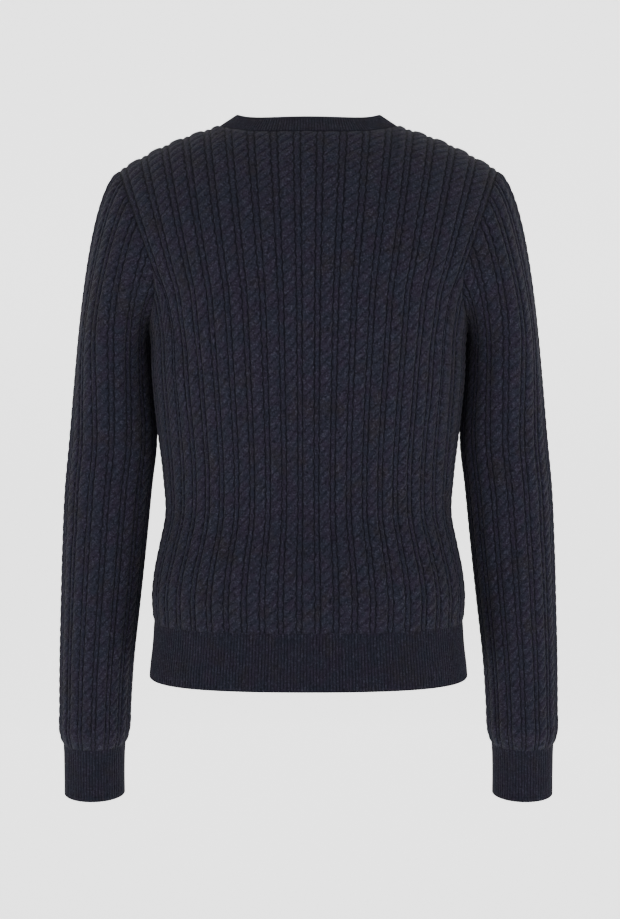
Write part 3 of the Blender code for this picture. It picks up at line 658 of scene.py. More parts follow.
# Levels at which a panel's form is worked out, below and past the yoke, then its rows.
BASE_LOW = np.linspace(0, 1, 69)
BASE_HIGH = 1 + (1 - (1 - np.linspace(0, 1, 61)[1:]) ** 2)
LOW_CROSSINGS = 34
HIGH_ROWS = 88
EDGE_ROWS = (0.03, 0.08)    # rows close to an edge, in crossings


def finish_cloth(piece, node, wool, area=None):
    """Gives a sheet its wool and its place, and hides the solid that it stands for."""
    piece.data.materials.append(wool)
    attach(piece, "root")
    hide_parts(node)


def knit_panel(name, creases):
    """A panel of the body from the hem's ribbing up to the shoulder and the neck."""
    panel, first, last, turned = PANELS[name]
    edges = [side * (ARM_REPEAT - inset) for inset in BESIDE_EDGE for side in (-1, 1)]
    edges += [side * (NECK_REPEAT + inset) for inset in (-0.02, 0, 0.02) for side in (-1, 1)]
    columns = knit_columns(first, last, edges)
    inner = np.abs(columns) <= ARM_REPEAT + TOUCH
    low = [panel_row(panel, columns * turned, level) for level in BASE_LOW]
    high = [panel_row(panel, columns * turned, level) for level in BASE_HIGH]
    tables = []
    for c in range(len(columns)):
        rows = low + high if inner[c] else low
        points, normals = (np.array([row[k][c] for row in rows]) for k in (0, 1))
        tables.append(knit_table(points, normals, len(BASE_LOW) - 1, LOW_CROSSINGS))
    tops = np.array([heights[-1] for heights, _, _ in tables])

    def block(rows, kept):
        here, top = columns[kept], tops[kept]
        beside = np.clip((ARM_REPEAT - np.abs(here)) / (1 - 2 * CABLE_HALF), 0, 1)
        below_arm = smooth_step((LOW_CROSSINGS - rows) / LAY_FADE)
        at_top = np.where(inner[kept], smooth_step((top - rows) / LAY_FADE), 1)
        fade = smooth_step(rows / LAY_FADE) * at_top * (beside + (1 - beside) * below_arm)
        rows = rows + lay(here) * fade
        below = np.clip((LOW_CROSSINGS - rows) * CROSSING, 0, None)
        to_arm = np.hypot(np.clip(ARM_REPEAT - np.abs(here), 0, None) * REPEAT_WIDTH, below)
        to_end = np.minimum(rows, np.where(inner[kept], top - rows, LOW_CROSSINGS - rows))
        to_end = np.clip(to_end, 0, None) * CROSSING
        edge = np.minimum(here - columns[0], columns[-1] - here) * REPEAT_WIDTH
        to_side = np.minimum(np.broadcast_to(edge, rows.shape), to_arm)
        base = [tables[c] for c in np.flatnonzero(kept)]
        return knit_block(here, rows, base, to_end, to_side, creases)

    low_rows = np.arange(LOW_CROSSINGS * ROWS_EACH + 1) / ROWS_EACH
    low_rows = np.sort(np.concatenate([low_rows, EDGE_ROWS, LOW_CROSSINGS - np.array(EDGE_ROWS)]))
    shares = np.arange(HIGH_ROWS + 1)[:, None] / HIGH_ROWS
    high_rows = LOW_CROSSINGS + shares * (tops[inner] - LOW_CROSSINGS)
    near_top = [tops[inner] - inset for inset in EDGE_ROWS]
    high_rows = np.sort(np.concatenate([high_rows, near_top]), axis=0)
    blocks = [block(low_rows[:, None] * np.ones(len(columns)), np.ones(len(columns), bool)),
              block(high_rows, inner)]
    piece = cloth_sheet(name + "_cloth", [(points, places) for points, places, _ in blocks])
    area = sum(sheet_area(bare) for _, _, bare in blocks)
    finish_cloth(piece, name, cable_wool, area)


BACK_CREASES = (
    (-120, 262, 105, -62, 10, -1.5), (-134, 232, 84, -70, 8, 1.0), (118, 258, 96, 64, 10, -1.4),
    (131, 226, 78, 71, 8, 0.9), (-70, 92, 150, 7, 12, -1.1), (54, 104, 130, -6, 13, -1.0),
    (-12, 66, 170, 2, 11, 0.8), (104, 74, 90, -15, 10, -0.9), (-116, 70, 84, 17, 10, -0.8),
)

# Each panel's form, its first and last places across, and -1 where they run against X.
PANELS = {
    "back": (BACK, -SIDE_REPEAT, SIDE_REPEAT, -1),
    "front_left": (FRONT, FRONT_REPEAT, SIDE_REPEAT, 1),
    "front_right": (FRONT, -SIDE_REPEAT, -FRONT_REPEAT, 1),
}
knit_panel("back", BACK_CREASES)

# --- Fronts ---
# Two panels of the same knit with a deeper neck, sewn to the back at the shoulders and
# sides. The photograph doesn't show them, so they are plain: no pocket and no trim.

FRONT_CREASES = {
    "left": (
        (122, 262, 92, -58, 10, -1.5), (60, 84, 110, -8, 12, -1.1), (96, 60, 90, -14, 10, 0.8),
        (70, 196, 120, 68, 15, -0.8),
    ),
    "right": (
        (-124, 256, 100, 61, 10, -1.6), (-66, 96, 124, 7, 12, -1.0), (-98, 66, 84, 16, 10, 0.8),
        (-74, 204, 112, -66, 15, -0.8),
    ),
}
for word, creases in FRONT_CREASES.items():
    knit_panel("front_" + word, creases)

# --- Sleeves ---
# Tubes of sixteen cables from the armhole to the wrist, joined under the arm and linked
# into the armhole. They hang beside the body with a slight bend at the elbow and drop a
# little over their cuffs.

SLEEVE_REPEATS = 16
Station = namedtuple("Station", "height middle_x middle_y half_width half_depth")
ARM = [Station(*row) for row in (
    (-663, 214.9, -46.2, 28.2, 28.6), (-636, 214.7, -42.5, 28.2, 28.4),
    (-611, 214.2, -39.0, 29.4, 29.8), (-598, 213.8, -37.2, 32.6, 33.0),
    (-575, 212.9, -34.0, 33.2, 33.6), (-529, 210.6, -28.0, 34.4, 34.8),
    (-470, 206.0, -21.0, 36.8, 37.2), (-411, 201.4, -15.0, 39.0, 39.2),
    (-353, 196.8, -11.0, 40.4, 40.8), (-309, 192.2, -9.0, 40.6, 42.0),
    (-262, 191.8, -7.0, 36.4, 48.0), (-225, 191.4, -5.0, 33.0, 54.6),
)]
BICEP = -225.0
WRIST = -611.0
CUFF_END = -663.0
FOREARM_TILT = tan(radians(8))
TILT_SPREAD = 150.0

# How far the sleeve turns out from the body at its seam, up from the underarm.
Fold = namedtuple("Fold", "share turn")
ARMHOLE_FOLD = [Fold(*row) for row in (
    (0.0, 72), (0.12, 70), (0.28, 52), (0.5, 32), (0.76, 14), (1.0, -12),
)]
ARM_CROSSINGS = 38
CAP_ROWS = 96
CAP_EDGE = (0.996, 0.9985)
SEAM_EVENING = 11       # steps over which the armhole's directions are evened out
IN_SLEEVE = np.array([400.0, 0, -100])  # a point on the sleeve's side of the armhole

# How strongly the cap leaves the armhole and arrives at the arm: at least so much, and
# more with its length, at the underarm and at the shoulder.
LEAVE, LEAVE_LENGTH, LEAVE_UNDERARM, LEAVE_SHOULDER = 10, 0.25, 12, 48
ARRIVE, ARRIVE_LENGTH = 45, 0.6
CAP_SLIDE = 0.6         # how far the cables climb along the armhole on the sleeve's cap
CAP_SLIDE_POWER = 1.5

# Steps in which the sleeve's form is worked out.
FORM_COLUMNS, ARM_LEVELS, CAP_LEVELS = 241, 80, 41
UNDERARM_STEPS, OVAL_STEPS = 30, 361


def resample(points, values, shares):
    """Values at shares of the length of a line of points."""
    length = running_length(points)
    length /= length[-1]
    return at_places(shares, length, values)


def even_out(values, steps, mode):
    """Directions along a seam, evened out over that many steps."""
    window = np.hanning(steps + 2)[1:-1]
    wide = np.pad(values, ((steps // 2, steps // 2), (0, 0)), mode=mode)
    return unit(np.stack([np.convolve(wide[:, k], window, mode="valid") for k in range(3)], -1))


def armhole_ring(shares):
    """The armhole's edge with its directions out and on, from the underarm over the back."""
    edges = []
    up = 2 * np.where(shares <= 0.5, shares, 1 - shares)
    for panel in (BACK, FRONT):
        stretches = [panel_row(panel, np.linspace(SIDE_REPEAT, ARM_REPEAT, UNDERARM_STEPS), 1.0)]
        stretches += [panel_row(panel, np.array([ARM_REPEAT]), level) for level in BASE_HIGH]
        points, normals = (np.concatenate(kind) for kind in zip(*stretches))
        points[[0, -1], 1] = 0
        steps = unit(np.diff(points, axis=0))
        run = np.concatenate([steps[:1], steps[:-1] + steps[1:], steps[-1:]])
        on = unit(np.cross(run, normals))
        on *= np.sign(np.median(np.sum(on * (IN_SLEEVE - points), axis=1)))
        on[0] = (0, 0, 1)
        edges.append([resample(points, values, up) for values in (points, normals, on)])
    on_back = (shares <= 0.5)[:, None]
    edge, normal, on = (np.where(on_back, b, f) for b, f in zip(*edges))
    normal = even_out(normal, SEAM_EVENING, "wrap")
    on = even_out(on, SEAM_EVENING, "wrap")
    return edge, normal, unit(on - normal * np.sum(on * normal, axis=1, keepdims=True))


def arm_ring(height, shares):
    """Points round the sleeve at a height, from its inner side over the back."""
    half_width = along(ARM, "half_width", height)
    half_depth = along(ARM, "half_depth", height)
    dense = np.linspace(0, 2 * pi, OVAL_STEPS)
    oval = np.stack([-half_width * np.cos(dense), half_depth * np.sin(dense)], -1)
    length = running_length(oval)
    angle = np.interp(shares * length[-1], length, dense)
    x = along(ARM, "middle_x", height) - half_width * np.cos(angle)
    y = half_depth * np.sin(angle)
    tilt = FOREARM_TILT * smooth_step((BICEP - height) / TILT_SPREAD)
    return np.stack([x, y + along(ARM, "middle_y", height), height - tilt * y], -1)


def sleeve_form(shares):
    """Inner points and outward directions from the wrist up to the armhole's seam.

    The first and the last column are the same line down the sleeve.
    """
    edge, normal, on = armhole_ring(shares)
    up = (2 * np.where(shares <= 0.5, shares, 1 - shares))[:, None]
    fold = np.radians(along(ARMHOLE_FOLD, "turn", up))
    leave = np.cos(fold) * on + np.sin(fold) * normal
    end = arm_ring(BICEP, shares)
    arrive = unit(arm_ring(BICEP - 2, shares) - end)
    chord = np.linalg.norm(end - edge, axis=1, keepdims=True)
    pull = LEAVE + LEAVE_LENGTH * chord + LEAVE_UNDERARM * (1 - up) ** 6 + LEAVE_SHOULDER * up ** 3
    arm = [arm_ring(height, shares) for height in np.linspace(WRIST, BICEP, ARM_LEVELS)[:-1]]
    cap = []
    for t in np.linspace(1, 0, CAP_LEVELS):
        cap.append(edge * (1 - t) ** 2 * (1 + 2 * t) + end * t * t * (3 - 2 * t)
                   + leave * pull * t * (1 - t) ** 2
                   - arrive * (ARRIVE + ARRIVE_LENGTH * chord) * t * t * (1 - t))
    points = np.array(arm + cap)
    wide = np.concatenate([points[:, -2:-1], points, points[:, 1:2]], axis=1)
    normals = unit(np.cross(wide[:, 2:] - wide[:, :-2], np.gradient(points, axis=0)))
    middle = len(arm) // 2
    normals *= np.sign(np.sum(normals[middle] * (points[middle] - points[middle].mean(axis=0))))
    normals[-1] = unit(np.cos(fold) * normal - np.sin(fold) * on)
    normals[0, :, 2] = 0
    return points, unit(normals), len(arm)


def knit_sleeve(name, side, creases):
    """A sleeve; side is 1 on the wearer's left and -1 on the right."""
    columns = knit_columns(-CABLE_HALF, SLEEVE_REPEATS - CABLE_HALF)
    if side > 0:
        columns = -columns[::-1]
    form_shares = np.linspace(0, 1, FORM_COLUMNS)
    form, form_normals, bicep = sleeve_form(form_shares % 1)
    shares = np.abs(columns - side * CABLE_HALF) / SLEEVE_REPEATS
    up = 1 - np.abs(1 - 2 * shares)
    slide = CAP_SLIDE * up * (1 - up) * np.sign(0.5 - shares) / 2
    levels = np.clip(np.arange(len(form)) - bicep, 0, None) / (len(form) - 1 - bicep)
    place = shares + slide * levels[:, None] ** CAP_SLIDE_POWER
    points, normals = (np.stack([
        at_places(here, form_shares, row) for here, row in zip(place, values)]) * (side, 1, 1)
        for values in (form, form_normals))
    tables = [knit_table(points[:, c], normals[:, c], bicep, ARM_CROSSINGS)
              for c in range(len(columns))]
    tops = np.array([heights[-1] for heights, _, _ in tables])
    arm_rows = np.arange(ARM_CROSSINGS * ROWS_EACH) / ROWS_EACH
    arm_rows = np.sort(np.concatenate([arm_rows, EDGE_ROWS]))
    cap = np.sort(np.concatenate([np.linspace(0, 1, CAP_ROWS), CAP_EDGE]))
    rows = np.concatenate([arm_rows[:, None] * np.ones(len(columns)),
                           ARM_CROSSINGS + cap[:, None] * (tops - ARM_CROSSINGS)])
    fade = smooth_step(rows / LAY_FADE) * smooth_step((tops - rows) / LAY_FADE)
    rows = rows + lay(columns) * fade
    to_end = np.minimum(rows, tops - rows) * CROSSING
    no_side = np.full(rows.shape, 99.0)
    raised, places, bare = knit_block(columns, rows, tables, to_end, no_side, creases)
    raised[:, -1] = raised[:, 0]
    piece = cloth_sheet(name + "_cloth", [(raised, places)])
    width = max(run_length(ring) for ring in points[:bicep + 1])
    finish_cloth(piece, name, cable_wool, sheet_area(bare))


SLEEVE_CREASES = {
    "left": (
        (-60, 250, 90, 24, 9, -1.3), (-78, 222, 80, 18, 8, -1.0), (-196, 240, 84, -20, 9, -1.2),
        (-70, 18, 90, 6, 7, 0.9), (-190, 22, 84, -5, 7, 0.8), (-40, 372, 90, -58, 10, -1.3),
        (-222, 366, 84, 60, 10, -1.2), (5.3, 376, 150, 90, 16, 2.6),
        (-258.7, 376, 150, 90, 16, 2.6),
    ),
    "right": (
        (58, 244, 84, -22, 9, -1.2), (80, 216, 76, -19, 8, -1.0), (198, 246, 80, 21, 9, -1.2),
        (66, 20, 84, -7, 7, 0.9), (186, 20, 80, 6, 7, 0.8), (42, 376, 84, 60, 10, -1.3),
        (220, 362, 80, -58, 10, -1.2), (-5.3, 376, 150, 90, 16, 2.6),
        (258.7, 376, 150, 90, 16, 2.6),
    ),
}
for side, word in SIDES:
    knit_sleeve("sleeve_" + word, side, SLEEVE_CREASES[word])

# --- Hem ribbing ---
# A deep band of fine one-and-one ribbing in the same wool, worked on from the lower edge
# of the back and of each front. It shows ribs on both faces and ends in a round edge.

FINE_WALL = 1.35
FINE_RISE = 0.72
FINE_BACK = 0.35        # how deep the ribbing's grooves are on the inside
HEM_PITCH = 2.9
HALF_HEM = 392.0        # along the hem from one side seam to the other
RIB_FADE = 4.0          # length over which the ribs rise from a seam
# Columns of points across one rib, and how far up each of them stands.
RIB_PROFILE = ((0.0, 0.0), (0.13, 0.42), (0.3, 0.92), (0.5, 1.0), (0.7, 0.92), (0.87, 0.42))
# Places in a wall's thickness round an edge, and how far they stand out past it.
EDGE = ((0.92, 0.30), (0.7, 0.62), (0.3, 0.62), (0.08, 0.30))


def rib_columns(ribs):
    return np.array([rib + part for rib in range(ribs) for part, _ in RIB_PROFILE] + [ribs])


def rib_height(columns):
    parts, heights = zip(*RIB_PROFILE, (1.0, 0.0))
    return np.interp(columns % 1, parts, heights)


def ribbed_wall(name, stops, columns, place, tube=False):
    """A closed wall of ribbing: up its outside, over its edge and down its inside.

    place gives the inner points and outward directions at a stop on the way up, and
    the height of the ribs there.
    """
    ring = [(stop, 1.0, 0) for stop in stops]
    ring += [(stops[-1], share, past) for share, past in EDGE]
    ring += [(stop, 0.0, 0) for stop in stops[::-1]]
    ring += [(stops[0], share, -past) for share, past in EDGE[::-1]]
    ring.append(ring[0])
    points, knit = [], []
    for stop, share, past in ring:
        low, out, rise = place(stop + past, columns)
        shares = np.full(len(columns), share)
        if not tube:
            shares[[0, -1]] = 0.5
        inside = FINE_BACK * rise
        outside = FINE_WALL + FINE_RISE * rise
        points.append(low + out * (inside + (outside - inside) * shares)[:, None])
        knit.append(np.stack([columns, np.full(len(columns), stop + past)], -1))
    points, knit = np.array(points), np.array(knit)
    if tube:
        points[:, -1] = points[:, 0]
    return cloth_sheet(name + "_cloth", [(points, {"knit": knit})])


def ribbed_piece(name, stops, ribs, place, flat, tube=False):
    piece = ribbed_wall(name, stops, rib_columns(ribs), place, tube)
    finish_cloth(piece, name, ribbing_wool)


def ribbing_finish():
    finish = Finish("fine_ribbing_wool")
    across, up = finish.place("knit")
    off_rib = abs(across % 1.0 - 0.5) * 2.0
    # Painted shade in the grooves between the ribs.
    groove = finish.ramp(off_rib, 0.55, 0.98)
    # Painted shade at the edge the ribbing starts from: the hem's and cuffs' lower edges and the
    # neckband's seam.
    edge = 1.0 - finish.ramp(abs(up), 0.3, 1.9)
    # Painted shade in the grooves and at that edge, and all of the ribbing a fifth of the way
    # darker.
    shadow = finish.maths("MINIMUM", groove * 0.55 + edge * 0.5 + 0.20, 1.0)
    loop = abs((up / COURSE + off_rib * 0.4) % 1.0 - 0.5) * 2.0
    fuzz = finish.noise(620.0, 4.0, 0.7)
    height = loop * (1.0 - groove) * 0.5 + fuzz * 1.3
    return shade_wool(finish, shadow, height)


ribbing_wool = ribbing_finish()


def hem_row(panel, repeats, up):
    """Inner points and outward directions at a height over the hem's edge."""
    left = np.abs(repeats)
    turns, _ = section_turns(panel, lambda turn: hem_height(panel, turn), left, even_share(panel))
    points = points_at(panel, left, turns, lambda turn: hem_height(panel, turn) + up)
    normals = outward(panel, points)
    normals[:, 2] = 0
    return both_halves(panel, repeats, points, normals)


HEM_STOPS = np.array([0.6, 3, 8, 16, 25, 34, 42, 48, 51.5, 54.4])
for name, (panel, first, last, turned) in PANELS.items():
    length = (last - first) / (2 * SIDE_REPEAT) * HALF_HEM
    ribs = int(round(length / HEM_PITCH))

    def place(up, columns):
        points, normals = hem_row(panel, (first + (last - first) * columns / ribs) * turned, up)
        seam = above_seam(smooth_step((HEM_RIB - up) / RIB_FADE))
        return points, normals, rib_height(columns) * seam

    ribbed_piece("hem_rib_" + name, HEM_STOPS, ribs, place, (length * MM, HEM_RIB * MM))

# --- Cuffs ---
# Ribbed ends of the sleeves, a little narrower than the knit above them and open for
# the hand.

CUFF_RADIUS = 29.0
CUFF_STEPS = (0.004, -0.004)    # shares of the way round between which it faces out
CUFF_PITCH = 2.75
CUFF_STOPS = np.array([0.6, 3, 8, 16, 25, 34, 42, 47, 49.8, 52.4])
for side, word in SIDES:
    around = 2 * pi * CUFF_RADIUS
    ribs = int(round(around / CUFF_PITCH))

    def place(up, columns):
        shares = (columns if side < 0 else ribs - columns) / ribs % 1
        height = CUFF_END + up
        ahead, behind = (arm_ring(height, (shares + step) % 1) for step in CUFF_STEPS)
        normals = unit(np.cross(ahead - behind, (0, -FOREARM_TILT, -1)))
        rise = rib_height(columns) * above_seam(smooth_step((WRIST - height) / RIB_FADE))
        return arm_ring(height, shares) * (side, 1, 1), normals * (side, 1, 1), rise

    flat = (around * MM, (WRIST - CUFF_END) * MM)
    ribbed_piece("cuff_" + word, CUFF_STOPS, ribs, place, flat, tube=True)

# --- Neckband ---
# A narrow band of the ribbing round the neck, picked up from the neck's edge. It stands
# up off the shoulders a little and ends at the two button bands.

NECKBAND = 22.0
NECK_PITCH = 2.75
NECK_STEPS = 141
NECK_EVENING = 17
BAND_SHARE = 0.06       # share of the neck's edge over which it squares up to the bands
NECK_FADE = 3.5
NECK_LEAN = 2           # degrees that the band leans out, and more at the shoulders
SHOULDER_LEAN = 15
LEAN_SPREAD = 30
NECK_STOPS = np.array([-0.4, 2.6, 6, 10, 14, 18, 20.4, 21.4])


def neck_seam():
    """The neck's edge from the left front round the back, with its directions."""
    front = np.linspace(FRONT_REPEAT, NECK_REPEAT, 40)
    back = np.linspace(NECK_REPEAT, -NECK_REPEAT, 81)
    stretches = [
        panel_row(FRONT, front, 2.0),
        panel_row(BACK, back[1:-1], 2.0),
        panel_row(FRONT, -front[::-1], 2.0),
    ]
    points, normals = (np.concatenate(kind) for kind in zip(*stretches))
    points[[len(front) - 1, -len(front)], 1] = 0
    steps = np.linspace(0, 1, NECK_STEPS)
    seam = resample(points, points, steps)
    run = even_out(np.gradient(seam, axis=0), NECK_EVENING, "edge")
    normal = even_out(unit(resample(points, normals, steps)), NECK_EVENING, "edge")
    normal = unit(normal - run * np.sum(normal * run, axis=1, keepdims=True))
    on = np.cross(run, normal)
    on *= np.sign(on[NECK_STEPS // 2, 2])
    off_band = smooth_step(np.minimum(steps, 1 - steps) / BAND_SHARE)
    normal[:, 0] *= off_band
    on[:, 0] *= off_band
    return seam, unit(normal), unit(on)


seam, seam_normal, seam_on = neck_seam()
at_shoulder = np.exp(-(seam[:, 1] / LEAN_SPREAD) ** 2)
neck_turn = np.radians(NECK_LEAN + SHOULDER_LEAN * at_shoulder)[:, None]
neck_up = np.cos(neck_turn) * seam_on + np.sin(neck_turn) * seam_normal
neck_out = np.cos(neck_turn) * seam_normal - np.sin(neck_turn) * seam_on
neck_out[[0, -1], 0] = 0
neck_length = run_length(seam)
neck_ribs = int(round(neck_length / MM / NECK_PITCH))


def place_neckband(up, columns):
    shares = columns / neck_ribs
    base, lean, out = (resample(seam, values, shares) for values in (seam, neck_up, neck_out))
    rise = rib_height(columns) * above_seam(smooth_step(up / NECK_FADE))
    return base + unit(lean) * up, unit(out), rise


ribbed_piece("neckband", NECK_STOPS, neck_ribs, place_neckband, (neck_length, NECKBAND * MM))

# --- Button bands ---
# Two ribbed strips sewn up the front edges from the hem to the top of the neckband. The
# wearer's right one lies over the left one and carries the buttons in its holes.

BAND_RIBS = 10
BAND_RIB = 2 * BAND_HALF / BAND_RIBS
BAND_ROWS = 70
PATH_STEP = 4


def band_path():
    """Heights and depths up the middle of the front, on the inside of the bands."""
    low = hem_height(FRONT, pi / 2)
    first_x = np.array([FRONT.first_x])
    rows = [(z, depth_at(FRONT, first_x, np.array([z]))[0])
            for z in np.linspace(low, low + HEM_RIB, 8)[:-1]]
    for level in np.linspace(0, 2, 60):
        points, _ = panel_row(FRONT, np.array([FRONT_REPEAT]), level)
        rows.append((points[0, 2], -(points[0, 1] - LAP)))
    height, depth = rows[-1]
    for share in (0.25, 0.5, 0.75, 1.0):
        past = share * NECKBAND
        rows.append((height + past * neck_up[0, 2], depth - past * neck_up[0, 1]))
    return np.array(rows)


path = band_path()


def on_path(height):
    """Depth of the bands and their outward direction at heights."""
    depth, ahead, behind = (np.interp(height + step, path[:, 0], path[:, 1])
                            for step in (0, PATH_STEP, -PATH_STEP))
    slope = (ahead - behind) / (2 * PATH_STEP)
    return depth, unit(np.stack([0 * slope, -1 + 0 * slope, -slope], -1))


levels = np.concatenate([[0, 0.0012], np.linspace(0.004, 0.996, BAND_ROWS), [0.9988, 1]])
heights = path[0, 0] + (path[-1, 0] - path[0, 0]) * levels
for side, word in SIDES:

    def place(stop, columns):
        depth, out = on_path(columns)
        x = np.full(len(columns), BAND_HALF - stop)
        rib = rib_height(np.clip(stop / BAND_RIB, 0, BAND_RIBS))
        return np.stack([x, -depth + side * LAP, columns], -1), out, rib + 0 * columns

    name = "button_band_" + word
    piece = ribbed_wall(name, rib_columns(BAND_RIBS)[1:-1] * BAND_RIB, heights, place)
    knit = piece.data.uv_layers["knit"].data
    turned = np.empty(len(knit) * 2, "f")
    knit.foreach_get("uv", turned)
    turned = turned.reshape(-1, 2)[:, ::-1] / (BAND_RIB, 1)
    knit.foreach_set("uv", turned.astype("f").ravel())
    length = run_length(np.pad(path, ((0, 0), (0, 1))))
    finish_cloth(piece, name, ribbing_wool)

# --- Buttons ---
# Seven plain dark buttons with a raised rim and four holes, sewn through to the band
# below. The photograph doesn't show them; they stay buttoned.

BUTTONS = 7
TOP_BUTTON = -72.0
LOW_BUTTON = -518.0
BUTTON_DISC = 1.9       # height of the disc's face
DISC_FOOT = 0.5
DISC_RADIUS = 6.2
BUTTON_LIFT = 0.35      # how far a button stands off the band
HOLE_RADIUS = 0.75
HOLE_PLACE = 1.55
STRANDS = (-0.28, 0, 0.28)
# The rim's outline: distances from the middle and heights.
RIM = ((6.0, 1.7), (6.35, 2.35), (6.8, 2.6), (7.2, 2.35), (7.4, 1.8), (7.3, 0.9), (6.6, 0.25),
       (6.0, 0.2))


def button_finish():
    finish = Finish("button_horn")
    dark, pale = (0.0040, 0.0040, 0.0065, 1), (0.0100, 0.0090, 0.0110, 1)
    colour = finish.mix(finish.noise(240.0, 3.0, 0.6), dark, pale)
    scuffs = finish.blots(0.4, 0.75, 900.0, 3.0)
    finish.shade(Base_Color=colour, Roughness=0.46 + scuffs * 0.16, Specular_IOR_Level=0.14)
    return finish.material


def thread_finish():
    finish = Finish("sewing_thread")
    dark, pale = (0.006, 0.006, 0.010, 1), (0.017, 0.017, 0.025, 1)
    finish.shade(Base_Color=finish.mix(finish.noise(2600.0), dark, pale), Roughness=0.75)
    return finish.material


def button_mesh():
    """A button lying on Z: the disc with its holes, its rim, and then the thread."""
    mesh = bmesh.new()
    bmesh.ops.create_circle(mesh, segments=40, radius=DISC_RADIUS)
    for sx in (-1, 1):
        for sy in (-1, 1):
            spot = Matrix.Translation((sx * HOLE_PLACE, sy * HOLE_PLACE, 0))
            bmesh.ops.create_circle(mesh, segments=12, radius=HOLE_RADIUS, matrix=spot)
    bmesh.ops.triangle_fill(mesh, use_beauty=True, edges=mesh.edges[:])
    made = bmesh.ops.extrude_face_region(mesh, geom=mesh.faces[:])["geom"]
    bmesh.ops.translate(mesh, verts=only(made, BMVert), vec=(0, 0, BUTTON_DISC - DISC_FOOT))
    bmesh.ops.translate(mesh, verts=mesh.verts[:], vec=(0, 0, DISC_FOOT))
    bmesh.ops.recalc_face_normals(mesh, faces=mesh.faces[:])
    ring = [mesh.verts.new((radius, 0, lift)) for radius, lift in RIM]
    edges = [mesh.edges.new((a, b)) for a, b in zip(ring, ring[1:] + ring[:1])]
    disc = set(mesh.faces)
    bmesh.ops.spin(mesh, geom=ring + edges, cent=(0, 0, 0), axis=(0, 0, 1), angle=2 * pi,
                   steps=40, use_merge=True)
    bmesh.ops.recalc_face_normals(mesh, faces=[face for face in mesh.faces if face not in disc])
    horn_faces = set(mesh.faces)
    for side in (-1, 1):
        for strand in STRANDS:
            lift = BUTTON_DISC + 0.18 - abs(strand) * 0.3
            spot = Matrix.Translation((0, side * HOLE_PLACE + strand, lift))
            shape = Matrix.Diagonal((HOLE_PLACE + 0.5, 0.2, 0.36, 1))
            bmesh.ops.create_icosphere(mesh, subdivisions=2, radius=1, matrix=spot @ shape)
    for face in mesh.faces:
        face.material_index = 0 if face in horn_faces else 1
        face.smooth = True
    return mesh


horn = button_finish()
thread = thread_finish()
for number in range(BUTTONS):
    height = TOP_BUTTON + (LOW_BUTTON - TOP_BUTTON) * number / (BUTTONS - 1)
    depth, out = on_path(np.array([height]))
    out = Vector(out[0])
    across = Vector((1, 0, 0))
    foot = Vector((0, -depth[0] - LAP, height)) + out * (FINE_WALL + FINE_RISE + BUTTON_LIFT)
    turn = Matrix((across, out.cross(across), out)).transposed().to_4x4()
    spin = Matrix.Rotation(radians(13 * sin(number * 2.1)), 4, "Z")
    mesh = button_mesh()
    matrix = Matrix.Scale(MM, 4) @ Matrix.Translation(foot) @ turn @ spin
    bmesh.ops.transform(mesh, matrix=matrix, verts=mesh.verts[:])
    name = "button_%d" % (number + 1)
    data = write_mesh(name + "_sewn", mesh)
    data.materials.append(horn)
    data.materials.append(thread)
    data.set_sharp_from_angle(angle=radians(50))
    piece = add_object(name + "_sewn", data)
    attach(piece, "root")
    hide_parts(name)

# --- Studio ---
# A pale sweep of paper behind and below, large soft lights all round, and the camera
# straight behind the cardigan at the height of its waist.

FLOOR_HEIGHT = -0.98
SWEEP_RADIUS = 1.2
BACKDROP = -3.8
BACKDROP_HEIGHT = 4.0
STAGE_HALF = 7.0
AIR_GLOW = 0.85
PAPER_GLOW = 1.3
WHITE = (1, 1, 1, 1)

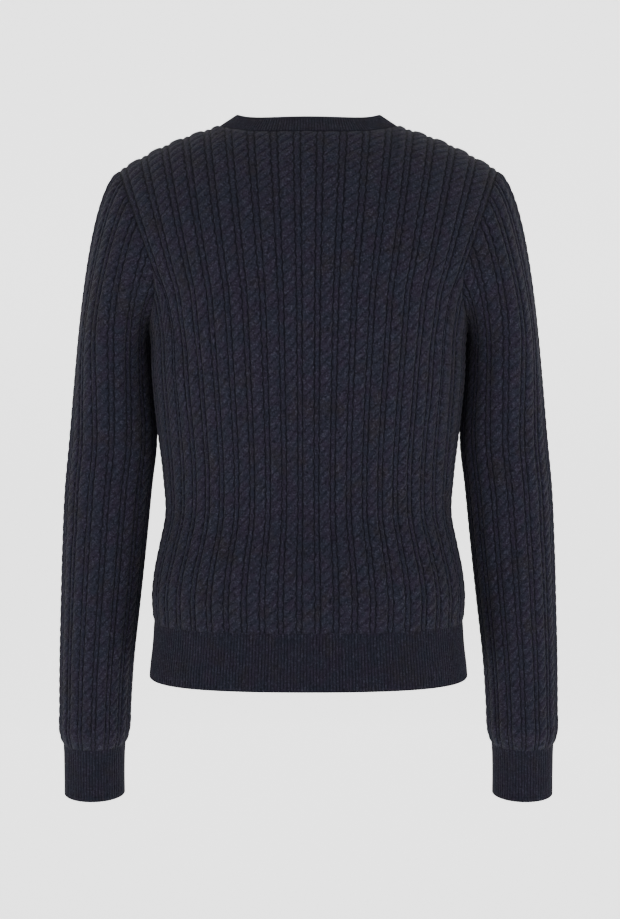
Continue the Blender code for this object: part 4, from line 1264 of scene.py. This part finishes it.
finish = Finish("studio_paper")
grain = finish.blots(0.2, 0.8, 1.1)
paper = finish.mix(grain, (0.895, 0.895, 0.895, 1), (0.905, 0.905, 0.905, 1))
finish.shade(Base_Color=paper, Roughness=1.0, Specular_IOR_Level=0.0, Emission_Color=WHITE,
             Emission_Strength=PAPER_GLOW)
mesh = bmesh.new()
ends = [mesh.verts.new((x, STAGE_HALF, FLOOR_HEIGHT)) for x in (-STAGE_HALF, STAGE_HALF)]
edge = mesh.edges.new(ends)
made = bmesh.ops.extrude_edge_only(mesh, edges=[edge])["geom"]
moved = only(made, BMVert)
bmesh.ops.translate(mesh, verts=moved, vec=(0, BACKDROP + SWEEP_RADIUS - STAGE_HALF, 0))
far_edge = [edge for edge in only(made, BMEdge) if all(vert in moved for vert in edge.verts)]
made = bmesh.ops.spin(mesh, geom=moved + far_edge, angle=radians(90), steps=24, axis=(-1, 0, 0),
                      cent=(0, BACKDROP + SWEEP_RADIUS, FLOOR_HEIGHT + SWEEP_RADIUS))["geom_last"]
made = bmesh.ops.extrude_edge_only(mesh, edges=only(made, BMEdge))["geom"]
bmesh.ops.translate(mesh, verts=only(made, BMVert), vec=(0, 0, BACKDROP_HEIGHT))
bmesh.ops.recalc_face_normals(mesh, faces=mesh.faces[:])
data = write_mesh("studio_sweep", mesh)
data.shade_smooth()
data.materials.append(finish.material)
sweep = add_object("studio_sweep", data)

world = bpy.data.worlds.new("studio_air")
world.use_nodes = True
air = world.node_tree.nodes["Background"].inputs
air["Color"].default_value = WHITE
air["Strength"].default_value = AIR_GLOW
bpy.context.scene.world = world

AIM = Vector((0, 0, -0.33))
for name, place, size, power in (("key", (-1.8, 2.3, 0.6), 1.6, 50.0),
                                 ("fill", (1.9, 2.2, 0.4), 1.6, 42.0),
                                 ("front_key", (-1.8, -1.5, 1.3), 1.4, 16.0),
                                 ("front_fill", (1.8, -1.5, 1.2), 1.4, 16.0),
                                 ("top", (0.0, 0.3, 2.4), 2.2, 4.0)):
    lamp = bpy.data.lights.new(name, "AREA")
    lamp.size = size
    lamp.energy = power
    light = add_object(name, lamp)
    light.location = place
    light.rotation_euler = (AIM - Vector(place)).to_track_quat("-Z", "Y").to_euler()

lens = bpy.data.cameras.new("camera")
lens.lens = 70.5
lens.sensor_fit = "VERTICAL"
lens.sensor_height = 36.0
camera = add_object("camera", lens)
camera.location = (-0.0015, 1.764, -0.328)
camera.rotation_euler = (pi / 2, 0, pi)
bpy.context.scene.camera = camera
